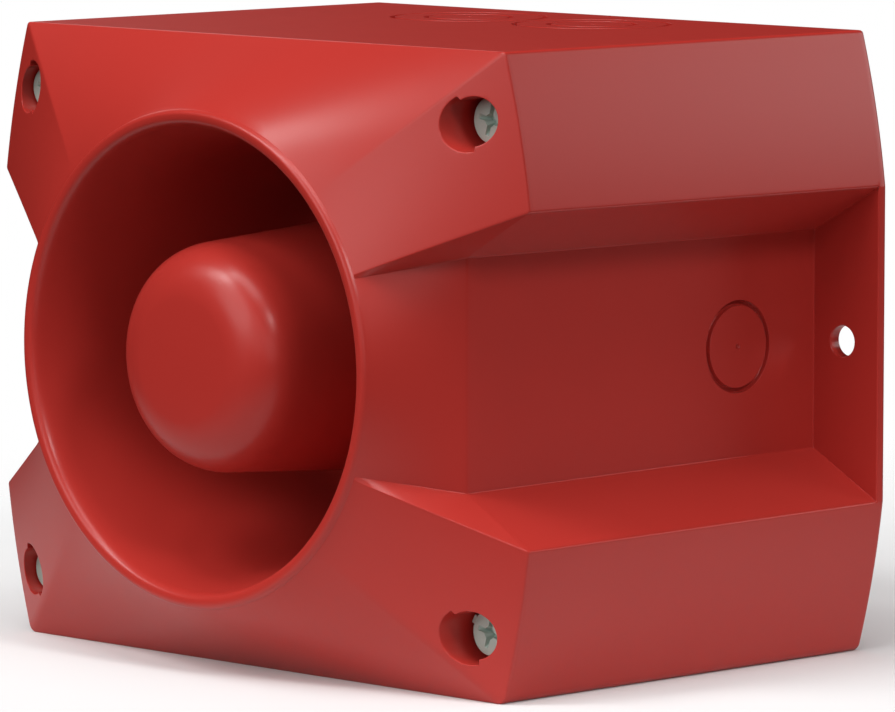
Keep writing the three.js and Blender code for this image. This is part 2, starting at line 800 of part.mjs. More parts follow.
function terminalBlockGeometry() {
  const { x, z, front, half } = TERMINAL;
  const width = (TERMINAL.count * TERMINAL.pitch) / 2;
  const { from, to, low, high } = WIRE_WAY;
  const body = box(x - width, x + width, front, BASE_BOARD_Y - CLEARANCE, z - half, z + half);
  const cutters = rowOffsets(TERMINAL).flatMap((dx) => {
    const spot = [x + dx, 0, z + WELL.z];
    const left = x + dx - WIRE_WAY.half;
    const right = x + dx + WIRE_WAY.half;
    return [
      cylinder(WELL.radius, front - 1, front + WELL.depth, 12).translate(...spot),
      box(left, right, front + from, front + to, z + low, z + high),
      cylinder(WELL.throat, front + WELL.depth - 1, front + from + 1, 8).translate(...spot),
    ];
  });
  return carve([body], cutters);
}

function terminalScrewGeometry() {
  const { head, headDepth, shank, length, slot } = TERMINAL_SCREW;
  const profile = [
    [0, 0],
    [head, 0],
    [head, headDepth],
    [shank, headDepth],
    [shank, length],
    [0, length],
  ];
  return carve([lathe(profile, 12)], [box(-head - 1, head + 1, -1, headDepth / 2, -slot, slot)]);
}

function dipSwitchGeometry() {
  const { x, z, rear, half, border } = DIP;
  const { reach, depth } = DIP_SLOT;
  const width = (DIP.count * DIP.pitch) / 2 + border;
  const body = box(x - width, x + width, BOARD_TOP_Y, rear, z - half, z + half);
  const slots = rowOffsets(DIP).map((dx) => {
    const left = x + dx - DIP_SLOT.half;
    const right = x + dx + DIP_SLOT.half;
    return box(left, right, rear - depth, rear + 1, z - reach, z + reach);
  });
  return carve([body], slots);
}

function dipLeverGeometry() {
  const { foot, knob } = DIP_LEVER;
  return carve([
    box(-foot.x, foot.x, foot.front, foot.rear, -foot.z, foot.z),
    box(-knob.x, knob.x, knob.front, knob.rear, -knob.z, knob.z),
  ]);
}

function trimmerBodyGeometry() {
  const { x, z, rear, half, pocketDepth } = TRIMMER;
  const body = box(x - half, x + half, BOARD_TOP_Y, rear, z - half, z + half);
  const pocket = cylinder(TRIMMER.pocket, rear - pocketDepth, rear + 1, 20);
  return carve([body], [pocket.translate(x, 0, z)]);
}

function trimmerRotorGeometry() {
  const { radius, sunk, proud, chamfer, slot, slotReach } = ROTOR;
  const body = lathe([
    [0, -sunk],
    [radius, -sunk],
    [radius, proud - chamfer],
    [radius - chamfer, proud],
    [0, proud],
  ]);
  return carve([body], [box(-slotReach, slotReach, -slot, proud + 1, -slot, slot)]);
}

// Upright can with a rounded, crimped foot; it stands on y = 0 and rises to +Y.
function capacitorGeometry({ radius, height }) {
  const { edge, foot, crimp } = CAN;
  return lathe(
    [
      [0, 0],
      [radius - edge, 0],
      [radius, foot],
      [radius, crimp - edge],
      [radius - edge, crimp],
      [radius, crimp + edge],
      [radius, height - edge],
      [radius - edge, height],
      [0, height],
    ],
    12,
  );
}

function inductorGeometry() {
  const { flange, coil, height, rim, slope } = INDUCTOR;
  return lathe(
    [
      [0, 0],
      [flange, 0],
      [flange, rim],
      [coil, rim + slope],
      [coil, height - rim - slope],
      [flange, height - rim],
      [flange, height],
      [0, height],
    ],
    14,
  );
}

function controllerGeometry() {
  const { half, depth, lift, height, legHalf, legHeight, legReach } = CHIP;
  const legs = rowOffsets(CHIP).map((dx) =>
    box(dx - legHalf, dx + legHalf, 0, legHeight, -legReach, legReach),
  );
  return carve([box(-half, half, lift, height, -depth, depth), ...legs]);
}

function transistorGeometry() {
  const { half, height, bottom, tab, tabEnd, hole, holeZ } = TRANSISTOR;
  const body = box(-half, half, 0, height, -bottom, bottom);
  const plate = box(-half, half, 0, tab, bottom - 1, tabEnd);
  return carve([body, plate], [cylinder(hole, -1, tab + 1, 12).translate(0, 0, holeZ)]);
}

// An insulated wire from the main board to the driver's edge.
function driverLeadGeometry(angle) {
  const path = LEAD.route.map(([radius, y, turn]) => {
    const way = radians(angle + turn);
    return new THREE.Vector3(radius * Math.cos(way), y, radius * Math.sin(way));
  });
  const section = new THREE.Shape(
    Array.from({ length: LEAD.sides }, (_, i) => {
      const way = (i * 2 * Math.PI) / LEAD.sides;
      return new THREE.Vector2(LEAD.radius * Math.cos(way), LEAD.radius * Math.sin(way));
    }),
  );
  const extrudePath = new THREE.CatmullRomCurve3(path);
  return new THREE.ExtrudeGeometry(section, { steps: LEAD.steps, extrudePath, bevelEnabled: false });
}

// ---------------------------------------------------------------- materials

function material(color, roughness, metalness = 0) {
  return new THREE.MeshStandardMaterial({ color, roughness, metalness });
}

const red = material(0xb23530, 0.42);
const rubber = material(0x1c1c1c, 0.85);
const zinc = material(0x8c8c86, 0.35, 1);
const brass = material(0xb08d46, 0.35, 1);
const steel = material(0x9a9ca0, 0.3, 1);
const ferrite = material(0x2a2a2c, 0.7);
const film = material(0xb58a4a, 0.4);
const copper = material(0xb4683a, 0.35, 1);
const blackPlastic = material(0x202022, 0.5);
const greenPlastic = material(0x2f7a45, 0.5);
const bluePlastic = material(0x24579a, 0.45);
const whitePlastic = material(0xe6e4dc, 0.5);
const laminate = material(0x1f6a3d, 0.45);
const canSleeve = material(0x23283a, 0.4);
const redWire = material(0xa32222, 0.5);

// ---------------------------------------------------------------- assembly

const sounder = new THREE.Group();
const base = new THREE.Group();
const cover = new THREE.Group();
sounder.add(base, cover);

function place(group, name, geometry, finish, x = 0, y = 0, z = 0) {
  const mesh = new THREE.Mesh(geometry, finish.clone());
  mesh.name = name;
  mesh.position.set(x, y, z);
  group.add(mesh);
}

// Parts that stay on the wall.
place(base, "housing", housingGeometry(), red);
place(base, "cover_gasket", coverGasketGeometry(), rubber);
place(base, "terminal_board", baseBoardGeometry(), laminate);
place(base, "terminal_block", terminalBlockGeometry(), greenPlastic);
place(base, "contact_header", contactHeaderGeometry(), blackPlastic);
[-1, 1].forEach((side, i) => {
  const screw = panScrewGeometry(SCREW_LENGTH.terminalBoard).rotateX(Math.PI);
  const y = BASE_BOARD_Y - CLEARANCE;
  place(base, `terminal_board_screw_${i + 1}`, screw, zinc, side * BASE_POST.x, y, BASE_POST.z);
});
rowOffsets(TERMINAL).forEach((dx, i) => {
  const x = TERMINAL.x + dx;
  const y = TERMINAL.front + TERMINAL_SCREW.sunk;
  const z = TERMINAL.z + WELL.z;
  place(base, `terminal_screw_${i + 1}`, terminalScrewGeometry(), zinc, x, y, z);
});

// Parts at the four corners.
screwCorners.forEach(([x, z], i) => {
  const at = [x * SCREW_X, 0, z * SCREW_Z];
  const sealRear = SEAT_Y - HAIRLINE;
  const seal = ring(SEAL.inner, SEAL.outer, sealRear - SEAL.depth, sealRear, 12);
  place(base, `screw_receptacle_${i + 1}`, receptacleGeometry(), brass, ...at);
  place(cover, `screw_seal_${i + 1}`, seal, rubber, ...at);
  const screw = coverScrewGeometry(LUG_ANGLES[i]);
  place(cover, `cover_screw_${i + 1}`, screw, zinc, at[0], HEAD_Y, at[2]);
});

// Horn and driver.
place(cover, "front_cover", frontCoverGeometry(), red);
place(cover, "bullet", bulletGeometry(), red);
place(cover, "throat_tube", throatTubeGeometry(), blackPlastic);
place(cover, "driver_gasket", driverGasketGeometry(), rubber);
place(cover, "driver_clamp_ring", clampRingGeometry(), blackPlastic);
place(cover, "diaphragm", diaphragmGeometry(), film);
const ringOf = ({ inner, front, rear }, outer) => ring(inner, outer, front, rear);
place(cover, "voice_coil", ringOf(VOICE_COIL, VOICE_COIL.outer), copper);
place(cover, "top_plate", ringOf(TOP_PLATE, MAGNET_R), steel);
place(cover, "magnet", ringOf(MAGNET, MAGNET_R), ferrite);
place(cover, "pole_piece", polePieceGeometry(), steel);
legSpots(LEG.circle).forEach(([x, z], i) => {
  const screw = panScrewGeometry(SCREW_LENGTH.bullet);
  place(cover, `bullet_screw_${i + 1}`, screw, zinc, x, DRIVER_BACK_Y, z);
});
legSpots(-DRIVER_SCREW_R).forEach(([x, z], i) => {
  const screw = panScrewGeometry(SCREW_LENGTH.driver);
  place(cover, `driver_screw_${i + 1}`, screw, zinc, x, DRIVER_SEAT_Y, z);
});

// Main board and what is on it.
place(cover, "main_board", mainBoardGeometry(), laminate);
boardPosts().forEach(([x, z], i) => {
  const screw = panScrewGeometry(SCREW_LENGTH.mainBoard);
  place(cover, `main_board_screw_${i + 1}`, screw, zinc, x, BOARD_TOP_Y, z);
});
place(cover, "contact_socket", contactSocketGeometry(), blackPlastic);
place(cover, "dip_switch", dipSwitchGeometry(), bluePlastic);
rowOffsets(DIP).forEach((dx, i) => {
  const x = DIP.x + dx;
  const z = DIP.z + DIP_REST;
  place(cover, `dip_lever_${i + 1}`, dipLeverGeometry(), whitePlastic, x, DIP.rear, z);
});
place(cover, "volume_trimmer", trimmerBodyGeometry(), bluePlastic);
const rotor = trimmerRotorGeometry();
place(cover, "trimmer_rotor", rotor, whitePlastic, TRIMMER.x, TRIMMER.rear, TRIMMER.z);
const large = capacitorGeometry(CAPACITOR_LARGE);
place(cover, "capacitor_large", large, canSleeve, CAPACITOR_LARGE.x, BOARD_TOP_Y, CAPACITOR_LARGE.z);
const small = capacitorGeometry(CAPACITOR_SMALL);
place(cover, "capacitor_small", small, canSleeve, CAPACITOR_SMALL.x, BOARD_TOP_Y, CAPACITOR_SMALL.z);
place(cover, "inductor", inductorGeometry(), copper, INDUCTOR.x, BOARD_TOP_Y, INDUCTOR.z);
place(cover, "controller_chip", controllerGeometry(), blackPlastic, 0, BOARD_TOP_Y, CHIP.z);
const transistor = transistorGeometry();
place(cover, "power_transistor", transistor, blackPlastic, TRANSISTOR.x, BOARD_TOP_Y, TRANSISTOR.z);
place(cover, "driver_lead_red", driverLeadGeometry(LEAD_ANGLES.red), redWire);
place(cover, "driver_lead_black", driverLeadGeometry(LEAD_ANGLES.black), blackPlastic);

export default sounder;
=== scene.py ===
"""Looks of the wall-mounted horn sounder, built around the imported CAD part.

Lengths in the helpers are millimetres in the part's own frame (+Z up, the horn faces -Y) and
become metres when a mesh is made.
"""

import json
import math

import bmesh
import bpy
import numpy as np
from mathutils import Matrix, Vector
from mathutils.bvhtree import BVHTree


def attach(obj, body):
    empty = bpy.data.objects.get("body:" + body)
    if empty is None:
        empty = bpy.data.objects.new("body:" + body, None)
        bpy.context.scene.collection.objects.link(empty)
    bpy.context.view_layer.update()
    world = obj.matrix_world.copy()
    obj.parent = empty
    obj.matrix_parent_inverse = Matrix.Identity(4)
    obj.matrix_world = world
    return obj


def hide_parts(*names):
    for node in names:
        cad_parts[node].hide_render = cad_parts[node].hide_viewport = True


MM = 0.001
WELD = 1e-4
BOX_EDGE_ANGLE = 10

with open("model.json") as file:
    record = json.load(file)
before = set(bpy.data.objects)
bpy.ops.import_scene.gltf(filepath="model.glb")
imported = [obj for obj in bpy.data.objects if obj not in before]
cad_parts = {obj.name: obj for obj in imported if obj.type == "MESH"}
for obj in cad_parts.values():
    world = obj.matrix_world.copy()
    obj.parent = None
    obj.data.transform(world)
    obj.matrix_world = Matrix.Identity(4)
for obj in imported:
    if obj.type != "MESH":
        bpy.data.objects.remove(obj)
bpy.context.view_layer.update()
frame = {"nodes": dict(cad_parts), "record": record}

# ------------------------------------------------------------------ driving dimensions

HALF_HEIGHT = 70
DEPTH = 113.8
RIM_Y = -112.6
RIM_GAP = 0.02
RIM_STEP = 0.3  # the cover's rim is thicker than the housing's wall by this much
WALL = 2.6
REAR_WALL = 3.6
EAR = 3.0
BULGE = 0.7
OUTLINE_FRONT = {"corner": 76, "side": (83.5, 36.2), "foot": (65, 25.5)}
OUTLINE_REAR = {"corner": 77.2, "side": (84.3, 35.4), "foot": (65, 24.7)}
FILLET = {"top": 0.9, "bottom": 2.2, "side": 0.7, "foot": 0.35}
COLUMNS = {"top": 96, "slant": 26, "wedge": 10, "floor": 44, "corner": 6}
LIP_ANGLE = {"corner": 45, "side": 23.7, "foot": 22.7}
EDGE_SOFTNESS = 0.45

SCREW_X = 70.6
SCREW_Z = 55.1
BORE = {"radius": 5.3, "wide": 6.35, "swell": 0.5, "from": 123, "to": 282}
SEAT_Y = -108
SLEEVE = {"radius": 7.6, "end": -105}
COLUMN = {"radius": 6.9, "end": -104.6, "bore": 4.6, "bore_end": -90}

HORN_FLOOR_Y = -62.5
HORN_BACK_Y = -59
THROAT_HOLE = 10.4
HORN_WALL = 2.6
HORN_BACK_MOUTH = (52.2, -127.5)
POSTS = [(x, z) for x in (-27, 27) for z in (-24, 24)]
POST_END_Y = -33.05
LEG_R = 27.5
LEG_ANGLES = (90, 210, 330)
DRIVER_SCREW_R = 20
BASE_POSTS = [(-26, -56), (26, -56)]
POST_R = 3
BASE_POST_END_Y = -8.35
POST_PILOT_Y = -42
PILOT_R = 1.3
CLEAR_HOLE_R = 1.7
SHANK_HOLE_R = 2.85

ENTRY_Y = -28.2
ENTRY = {"groove": 1.25, "depth": 1.15, "small": 10.45, "large": 18.25, "top_x": 19.6}
EAR_HOLE = {"x": 73.6, "radius": 3.5}


# ------------------------------------------------------------------ mesh helpers


def mesh_object(name, points, faces):
    """A mesh object from points in millimetres; points closer than WELD become one."""
    data = bpy.data.meshes.new(name)
    data.from_pydata([tuple(MM * c for c in p) for p in points], [], faces)
    made = bpy.data.objects.new(name, data)
    bpy.context.scene.collection.objects.link(made)
    edit = bmesh.new()
    edit.from_mesh(data)
    bmesh.ops.remove_doubles(edit, verts=edit.verts, dist=WELD * MM)
    bmesh.ops.dissolve_degenerate(edit, edges=edit.edges, dist=WELD * MM)
    wide = [f for f in edit.faces if len(f.verts) > 4]
    bmesh.ops.triangulate(edit, faces=wide)
    bmesh.ops.recalc_face_normals(edit, faces=edit.faces)
    edit.to_mesh(data)
    edit.free()
    return made


def loft(name, rings, looped=False):
    """A closed skin over rings of equal length; open ends are capped."""
    count = len(rings[0])
    points = np.concatenate([np.asarray(r, float) for r in rings])
    steps = len(rings) if looped else len(rings) - 1
    faces = []
    for i in range(steps):
        here, there = i * count, ((i + 1) % len(rings)) * count
        for j in range(count):
            k = (j + 1) % count
            faces.append((here + j, here + k, there + k, there + j))
    if not looped:
        end = (len(rings) - 1) * count
        faces.append(tuple(range(count - 1, -1, -1)))
        faces.append(tuple(range(end, end + count)))
    return mesh_object(name, points, faces)


def lathe(name, profile, segments=64, spot=(0, 0, 0)):
    """Turns a profile of (radius, y) around the Y axis through spot."""
    x0, y0, z0 = spot
    points, rows = [], []
    closed = profile[0] == profile[-1]
    if closed:
        profile = profile[:-1]
    for radius, y in profile:
        if radius < 1e-6:
            rows.append([len(points)] * segments)
            points.append((x0, y0 + y, z0))
            continue
        rows.append(list(range(len(points), len(points) + segments)))
        for j in range(segments):
            turn = 2 * math.pi * j / segments
            points.append((x0 + radius * math.cos(turn), y0 + y, z0 + radius * math.sin(turn)))
    if closed:
        rows.append(rows[0])
    faces = []
    for low, high in zip(rows, rows[1:]):
        for j in range(segments):
            k = (j + 1) % segments
            corners = list(dict.fromkeys((low[j], low[k], high[k], high[j])))
            if len(corners) > 2:
                faces.append(tuple(corners))
    return mesh_object(name, points, faces)


def cylinder(name, radius, y0, y1, spot=(0, 0, 0), segments=48):
    return lathe(name, [(0, y0), (radius, y0), (radius, y1), (0, y1)], segments, spot)


def rods(name, radius, y0, y1, spots, segments):
    """A cylinder along Y at each of the spots (x, z)."""
    places = [(spot[0], 0, spot[1]) for spot in spots]
    return [cylinder(f"{name}_{i}", radius, y0, y1, place, segments) for i, place in enumerate(places)]


def block(name, low, high, bevel=0.0, segments=2):
    """A box between two corners, with rounded edges where bevel is given."""
    x0, y0, z0 = low
    x1, y1, z1 = high
    points = [(x, y, z) for x in (x0, x1) for y in (y0, y1) for z in (z0, z1)]
    faces = [(0, 1, 3, 2), (4, 6, 7, 5), (0, 4, 5, 1), (2, 3, 7, 6), (0, 2, 6, 4), (1, 5, 7, 3)]
    made = mesh_object(name, points, faces)
    if bevel:
        soften(made, bevel, segments)
    return made


def arc(centre, radius, start, end, steps):
    """Points (radius, y) on a circular arc in a lathe profile, angles in degrees."""
    made = []
    for i in range(steps + 1):
        turn = math.radians(start + (end - start) * i / steps)
        made.append((centre[0] + radius * math.cos(turn), centre[1] + radius * math.sin(turn)))
    return made


def bezier(points, steps):
    """Points on a cubic or quadratic Bezier curve."""
    degree = len(points) - 1
    made = []
    for i in range(steps + 1):
        t = i / steps
        weights = [math.comb(degree, k) * (1 - t) ** (degree - k) * t**k for k in range(degree + 1)]
        made.append(tuple(sum(w * p[c] for w, p in zip(weights, points)) for c in range(2)))
    return made


def through(points, steps):
    """A smooth curve through the points (Catmull-Rom), steps to each span."""
    ends = [
        tuple(2 * a - b for a, b in zip(points[0], points[1])),
        tuple(2 * a - b for a, b in zip(points[-1], points[-2])),
    ]
    knots = [ends[0], *points, ends[1]]
    made = [tuple(points[0])]
    for a, b, c, d in zip(knots, knots[1:], knots[2:], knots[3:]):
        for i in range(1, steps + 1):
            t = i / steps
            spot = []
            for p, q, r, s in zip(a, b, c, d):
                square = (2 * p - 5 * q + 4 * r - s) * t**2
                cube = (3 * q - p - 3 * r + s) * t**3
                spot.append(0.5 * (2 * q + (r - p) * t + square + cube))
            made.append(tuple(spot))
    return made


def apply_modifier(target, modifier):
    bpy.context.view_layer.objects.active = target
    target.select_set(True)
    bpy.ops.object.modifier_apply(modifier=modifier.name)
    target.select_set(False)


def soften(target, width, segments):
    """Rounds the edges of a box."""
    made = target.modifiers.new("soften", "BEVEL")
    made.width = width * MM
    made.segments = segments
    made.limit_method = "ANGLE"
    made.angle_limit = math.radians(BOX_EDGE_ANGLE)
    made.use_clamp_overlap = True
    apply_modifier(target, made)


def combine(target, tools, operation):
    """Joins the tools to the target or cuts them from it, and removes the tools."""
    for tool in tools:
        made = target.modifiers.new("combine", "BOOLEAN")
        made.operation = operation
        made.solver = "MANIFOLD"
        made.object = tool
        apply_modifier(target, made)
        bpy.data.objects.remove(tool)
    return target


def join(target, others):
    """Makes one object of several that don't overlap."""
    bpy.ops.object.select_all(action="DESELECT")
    for piece in [target, *others]:
        piece.select_set(True)
    bpy.context.view_layer.objects.active = target
    bpy.ops.object.join()
    bpy.ops.object.select_all(action="DESELECT")
    return target


def turn_about_y(target, degrees):
    """Turns the mesh about the Y axis, counter-clockwise as seen from the front."""
    target.data.transform(Matrix.Rotation(-math.radians(degrees), 4, "Y"))
    return target


def shift(target, x=0, y=0, z=0):
    target.data.transform(Matrix.Translation(Vector((x, y, z)) * MM))
    return target


def shade(target, angle=30):
    """Smooth shading with creases at edges sharper than angle."""
    data = target.data
    edit = bmesh.new()
    edit.from_mesh(data)
    bmesh.ops.remove_doubles(edit, verts=edit.verts, dist=2e-6)
    bmesh.ops.dissolve_degenerate(edit, edges=edit.edges, dist=1e-6)
    limit = math.radians(angle)
    for face in edit.faces:
        face.smooth = True
    for edge in edit.edges:
        edge.smooth = not (edge.is_manifold and edge.calc_face_angle(0) > limit)
    edit.to_mesh(data)
    edit.free()
    made = target.modifiers.new("weighted", "WEIGHTED_NORMAL")
    made.keep_sharp = True
    made.weight = 80
    return target


# ------------------------------------------------------------------ materials


def nodes_of(name):
    made = bpy.data.materials.new(name)
    made.use_nodes = True
    tree = made.node_tree
    shader = tree.nodes["Principled BSDF"]
    return made, tree, shader


def noise(tree, scale, detail, coordinates):
    made = tree.nodes.new("ShaderNodeTexNoise")
    made.inputs["Scale"].default_value = scale
    made.inputs["Detail"].default_value = detail
    tree.links.new(coordinates, made.inputs["Vector"])
    return made.outputs["Fac"]


def spread(tree, source, low, high):
    made = tree.nodes.new("ShaderNodeMapRange")
    made.inputs["From Min"].default_value = 0.3
    made.inputs["From Max"].default_value = 0.7
    made.inputs["To Min"].default_value = low
    made.inputs["To Max"].default_value = high
    tree.links.new(source, made.inputs["Value"])
    return made.outputs["Result"]


def finish_material(
    name,
    colour,
    roughness,
    metallic=0.0,
    colour_spread=0.04,
    roughness_spread=0.04,
    grain=2500,
    cloud=60,
    bump=0.00002,
    specular=0.5,
    coat=0.0,
):
    """A surface whose colour and gloss drift slightly, with a fine grain on top."""
    made, tree, shader = nodes_of(name)
    place = tree.nodes.new("ShaderNodeTexCoord").outputs["Object"]
    drift = noise(tree, cloud, 3, place)
    ramp = tree.nodes.new("ShaderNodeValToRGB")
    low = [max(0.0, c * (1 - colour_spread)) for c in colour]
    high = [min(1.0, c * (1 + colour_spread)) for c in colour]
    ramp.color_ramp.elements[0].position = 0.3
    ramp.color_ramp.elements[0].color = (*low, 1)
    ramp.color_ramp.elements[1].position = 0.7
    ramp.color_ramp.elements[1].color = (*high, 1)
    tree.links.new(drift, ramp.inputs["Fac"])
    tree.links.new(ramp.outputs["Color"], shader.inputs["Base Color"])
    smooth, rough = roughness - roughness_spread, roughness + roughness_spread
    gloss = spread(tree, noise(tree, cloud * 3, 4, place), smooth, rough)
    tree.links.new(gloss, shader.inputs["Roughness"])
    relief = tree.nodes.new("ShaderNodeBump")
    relief.inputs["Strength"].default_value = 0.35
    relief.inputs["Distance"].default_value = bump
    tree.links.new(noise(tree, grain, 2, place), relief.inputs["Height"])
    tree.links.new(relief.outputs["Normal"], shader.inputs["Normal"])
    shader.inputs["Metallic"].default_value = metallic
    shader.inputs["Specular IOR Level"].default_value = specular
    shader.inputs["IOR"].default_value = SURFACE_IOR
    shader.inputs["Coat Weight"].default_value = coat
    return made


SURFACE_IOR = 1.5
PLATED = {"colour_spread": 0.06, "grain": 900, "cloud": 300}
RED_ALBEDO = (0.465, 0.0325, 0.0248)
# Colour, roughness and what differs from the usual finish
FINISHES = {
    "red_plastic": (
        RED_ALBEDO,
        0.29,
        {"colour_spread": 0.008, "roughness_spread": 0.006, "bump": 0.000004, "specular": 0.35},
    ),
    "black_rubber": ((0.012, 0.012, 0.013), 0.8, {"colour_spread": 0.2, "grain": 1500}),
    "zinc_steel": ((0.55, 0.57, 0.55), 0.34, {"metallic": 0.8, **PLATED}),
    "screw_head": ((0.50, 0.63, 0.565), 0.34, {"metallic": 0.1, **PLATED}),
    "brass": ((0.63, 0.43, 0.14), 0.32, {"metallic": 1.0, "colour_spread": 0.06, "cloud": 250}),
    "steel": ((0.5, 0.51, 0.53), 0.32, {"metallic": 1.0, "colour_spread": 0.05, "cloud": 200}),
    "ferrite": ((0.03, 0.03, 0.033), 0.65, {"colour_spread": 0.2, "cloud": 400, "grain": 1200}),
    "phenolic_film": ((0.5, 0.27, 0.08), 0.35, {"colour_spread": 0.08}),
    "copper": ((0.62, 0.26, 0.11), 0.3, {"metallic": 1.0, "colour_spread": 0.06, "cloud": 300}),
    "black_plastic": ((0.016, 0.016, 0.018), 0.45, {"colour_spread": 0.15}),
    "green_plastic": ((0.03, 0.22, 0.07), 0.45, {"colour_spread": 0.06}),
    "blue_plastic": ((0.02, 0.11, 0.33), 0.4, {"colour_spread": 0.06}),
    "white_plastic": ((0.76, 0.75, 0.7), 0.45, {"colour_spread": 0.02}),
    "green_laminate": ((0.012, 0.14, 0.05), 0.38, {"colour_spread": 0.12, "cloud": 120, "coat": 0.3}),
    "can_sleeve": ((0.02, 0.025, 0.05), 0.35, {"colour_spread": 0.1}),
    "red_wire": ((0.42, 0.02, 0.02), 0.45, {"colour_spread": 0.05}),
}
MATERIALS = {
    name: finish_material(name, colour, roughness, **more)
    for name, (colour, roughness, more) in FINISHES.items()
}


BODIES = frame["record"]["behaviour"]["bodies"]
BODY_OF = {node: body for body, group in BODIES.items() for node in group}


def dress(piece, body, slot, *stands_for, finish=None):
    """Gives a finished piece its material and its body, and hides the CAD nodes it stands for."""
    piece.data.materials.clear()
    piece.data.materials.append(MATERIALS[finish or slot])
    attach(piece, body)
    if stands_for:
        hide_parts(*stands_for)
    return piece


# ------------------------------------------------------------------ body outline


def outline_size(y):
    """The outline's named points at depth y, between the front one and the rear one."""
    t = 1 + y / DEPTH
    mix = lambda a, b: a + (b - a) * t
    return {
        "corner": mix(OUTLINE_FRONT["corner"], OUTLINE_REAR["corner"]),
        "side": [mix(a, b) for a, b in zip(OUTLINE_FRONT["side"], OUTLINE_REAR["side"])],
        "foot": [mix(a, b) for a, b in zip(OUTLINE_FRONT["foot"], OUTLINE_REAR["foot"])],
    }


def outline_corners(y, slab=False):
    """Corners (x, z, lip angle, fillet, convex), counter-clockwise as seen from behind +Y."""
    size = outline_size(y)
    cx = size["corner"]
    sx, sz = size["side"]
    fx, fz = size["foot"]
    a, b, c = LIP_ANGLE["corner"], LIP_ANGLE["side"], LIP_ANGLE["foot"]
    if slab:
        fx, fz = sx, sz * 0.7
    foot = 0.01 if slab else FILLET["foot"]
    right = [
        (sx, -sz, -b, FILLET["side"], 1),
        (fx, -fz, -c, foot, -1),
        (fx, fz, c, foot, -1),
        (sx, sz, b, FILLET["side"], 1),
        (cx, HALF_HEIGHT, a, FILLET["top"], 1),
    ]
    left = [
        (-cx, HALF_HEIGHT, 180 - a, FILLET["top"], 1),
        (-sx, sz, 180 - b, FILLET["side"], 1),
        (-fx, fz, 180 - c, foot, -1),
        (-fx, -fz, 180 + c, foot, -1),
        (-sx, -sz, 180 + b, FILLET["side"], 1),
        (-cx, -HALF_HEIGHT, 180 + a, FILLET["bottom"], 1),
        (cx, -HALF_HEIGHT, 360 - a, FILLET["bottom"], 1),
    ]
    return right + left


EDGE_KINDS = [
    "wedge", "floor", "wedge", "slant", "top", "slant",
    "wedge", "floor", "wedge", "slant", "top", "slant",
]


def inset_outline(corners, inset):
    """The corners with every edge moved inwards by inset."""
    spots = np.array([c[:2] for c in corners])
    ahead = np.roll(spots, -1, axis=0) - spots
    ahead /= np.linalg.norm(ahead, axis=1)[:, None]
    inward = np.stack([-ahead[:, 1], ahead[:, 0]], axis=1)
    offsets = (inward * spots).sum(1) + inset
    moved = []
    for i in range(len(corners)):
        pair = np.array([inward[i - 1], inward[i]])
        if abs(np.linalg.det(pair)) < 1e-6:
            moved.append(spots[i] + inward[i] * inset)
        else:
            moved.append(np.linalg.solve(pair, [offsets[i - 1], offsets[i]]))
    return np.array(moved)


def outline(y, inset=0.0, slab=False):
    """Points (x, y, z) round the body at depth y, and the lip angle each one runs to."""
    corners = outline_corners(y, slab)
    spots = inset_outline(corners, inset)
    count = len(corners)
    cut = []
    for i, (_, _, _, radius, convex) in enumerate(corners):
        before, after = spots[i - 1] - spots[i], spots[(i + 1) % count] - spots[i]
        cosine = before @ after / np.linalg.norm(before) / np.linalg.norm(after)
        half = math.acos(max(-1.0, min(1.0, cosine))) / 2
        kept = max(0.12, radius - convex * inset)
        cut.append(min(kept / math.tan(half), 6.0) if half < 1.56 else 0.01)
    places, angles = [], []
    for i in range(count):
        j = (i + 1) % count
        k = (i + 2) % count
        start, end, beyond = spots[i], spots[j], spots[k]
        length = np.linalg.norm(end - start)
        onward = np.linalg.norm(beyond - end)
        turn = (corners[j][2] - corners[i][2]) % 360
        turn_on = (corners[k][2] - corners[j][2]) % 360
        kind = EDGE_KINDS[i]
        steps = COLUMNS[kind]
        first, last = cut[i] / length, 1 - cut[j] / length
        normal = np.array([(end - start)[1], -(end - start)[0]]) / length
        for step in range(steps):
            t = first + (last - first) * step / steps
            out = BULGE * 4 * t * (1 - t) if kind == "slant" else 0.0
            places.append(start + (end - start) * t + normal * out)
            angles.append(corners[i][2] + turn * t)
        tail = BULGE * 4 * last * (1 - last) if kind == "slant" else 0.0
        head = cut[j] / onward
        kind_on = EDGE_KINDS[j]
        lead = BULGE * 4 * head * (1 - head) if kind_on == "slant" else 0.0
        normal_on = np.array([(beyond - end)[1], -(beyond - end)[0]]) / onward
        a = start + (end - start) * last + normal * tail
        c = end + (beyond - end) * head + normal_on * lead
        for step in range(COLUMNS["corner"]):
            t = step / COLUMNS["corner"]
            places.append((1 - t) ** 2 * a + 2 * t * (1 - t) * end + t * t * c)
            low = corners[i][2] + turn * last
            high = corners[i][2] + turn + turn_on * head
            angles.append(low + (high - low) * t)
    places = np.array(places)
    ring = np.stack([places[:, 0], np.full(len(places), float(y)), places[:, 1]], axis=1)
    return ring, np.radians(angles)


LIP_TURNS = outline(-DEPTH)[1]


def lip_ring(radius, y):
    depths = np.full(len(LIP_TURNS), float(y))
    return np.stack([radius * np.cos(LIP_TURNS), depths, radius * np.sin(LIP_TURNS)], axis=1)


def body_ring(y, inset=0.0, slab=False):
    return outline(y, inset, slab)[0]


def blend_rings(start, bend, end, t):
    """The ring at t on the rounded corner that runs from start to end, bent towards bend."""
    return (1 - t) ** 2 * start + 2 * t * (1 - t) * bend + t * t * end


# ------------------------------------------------------------------ front cover and horn

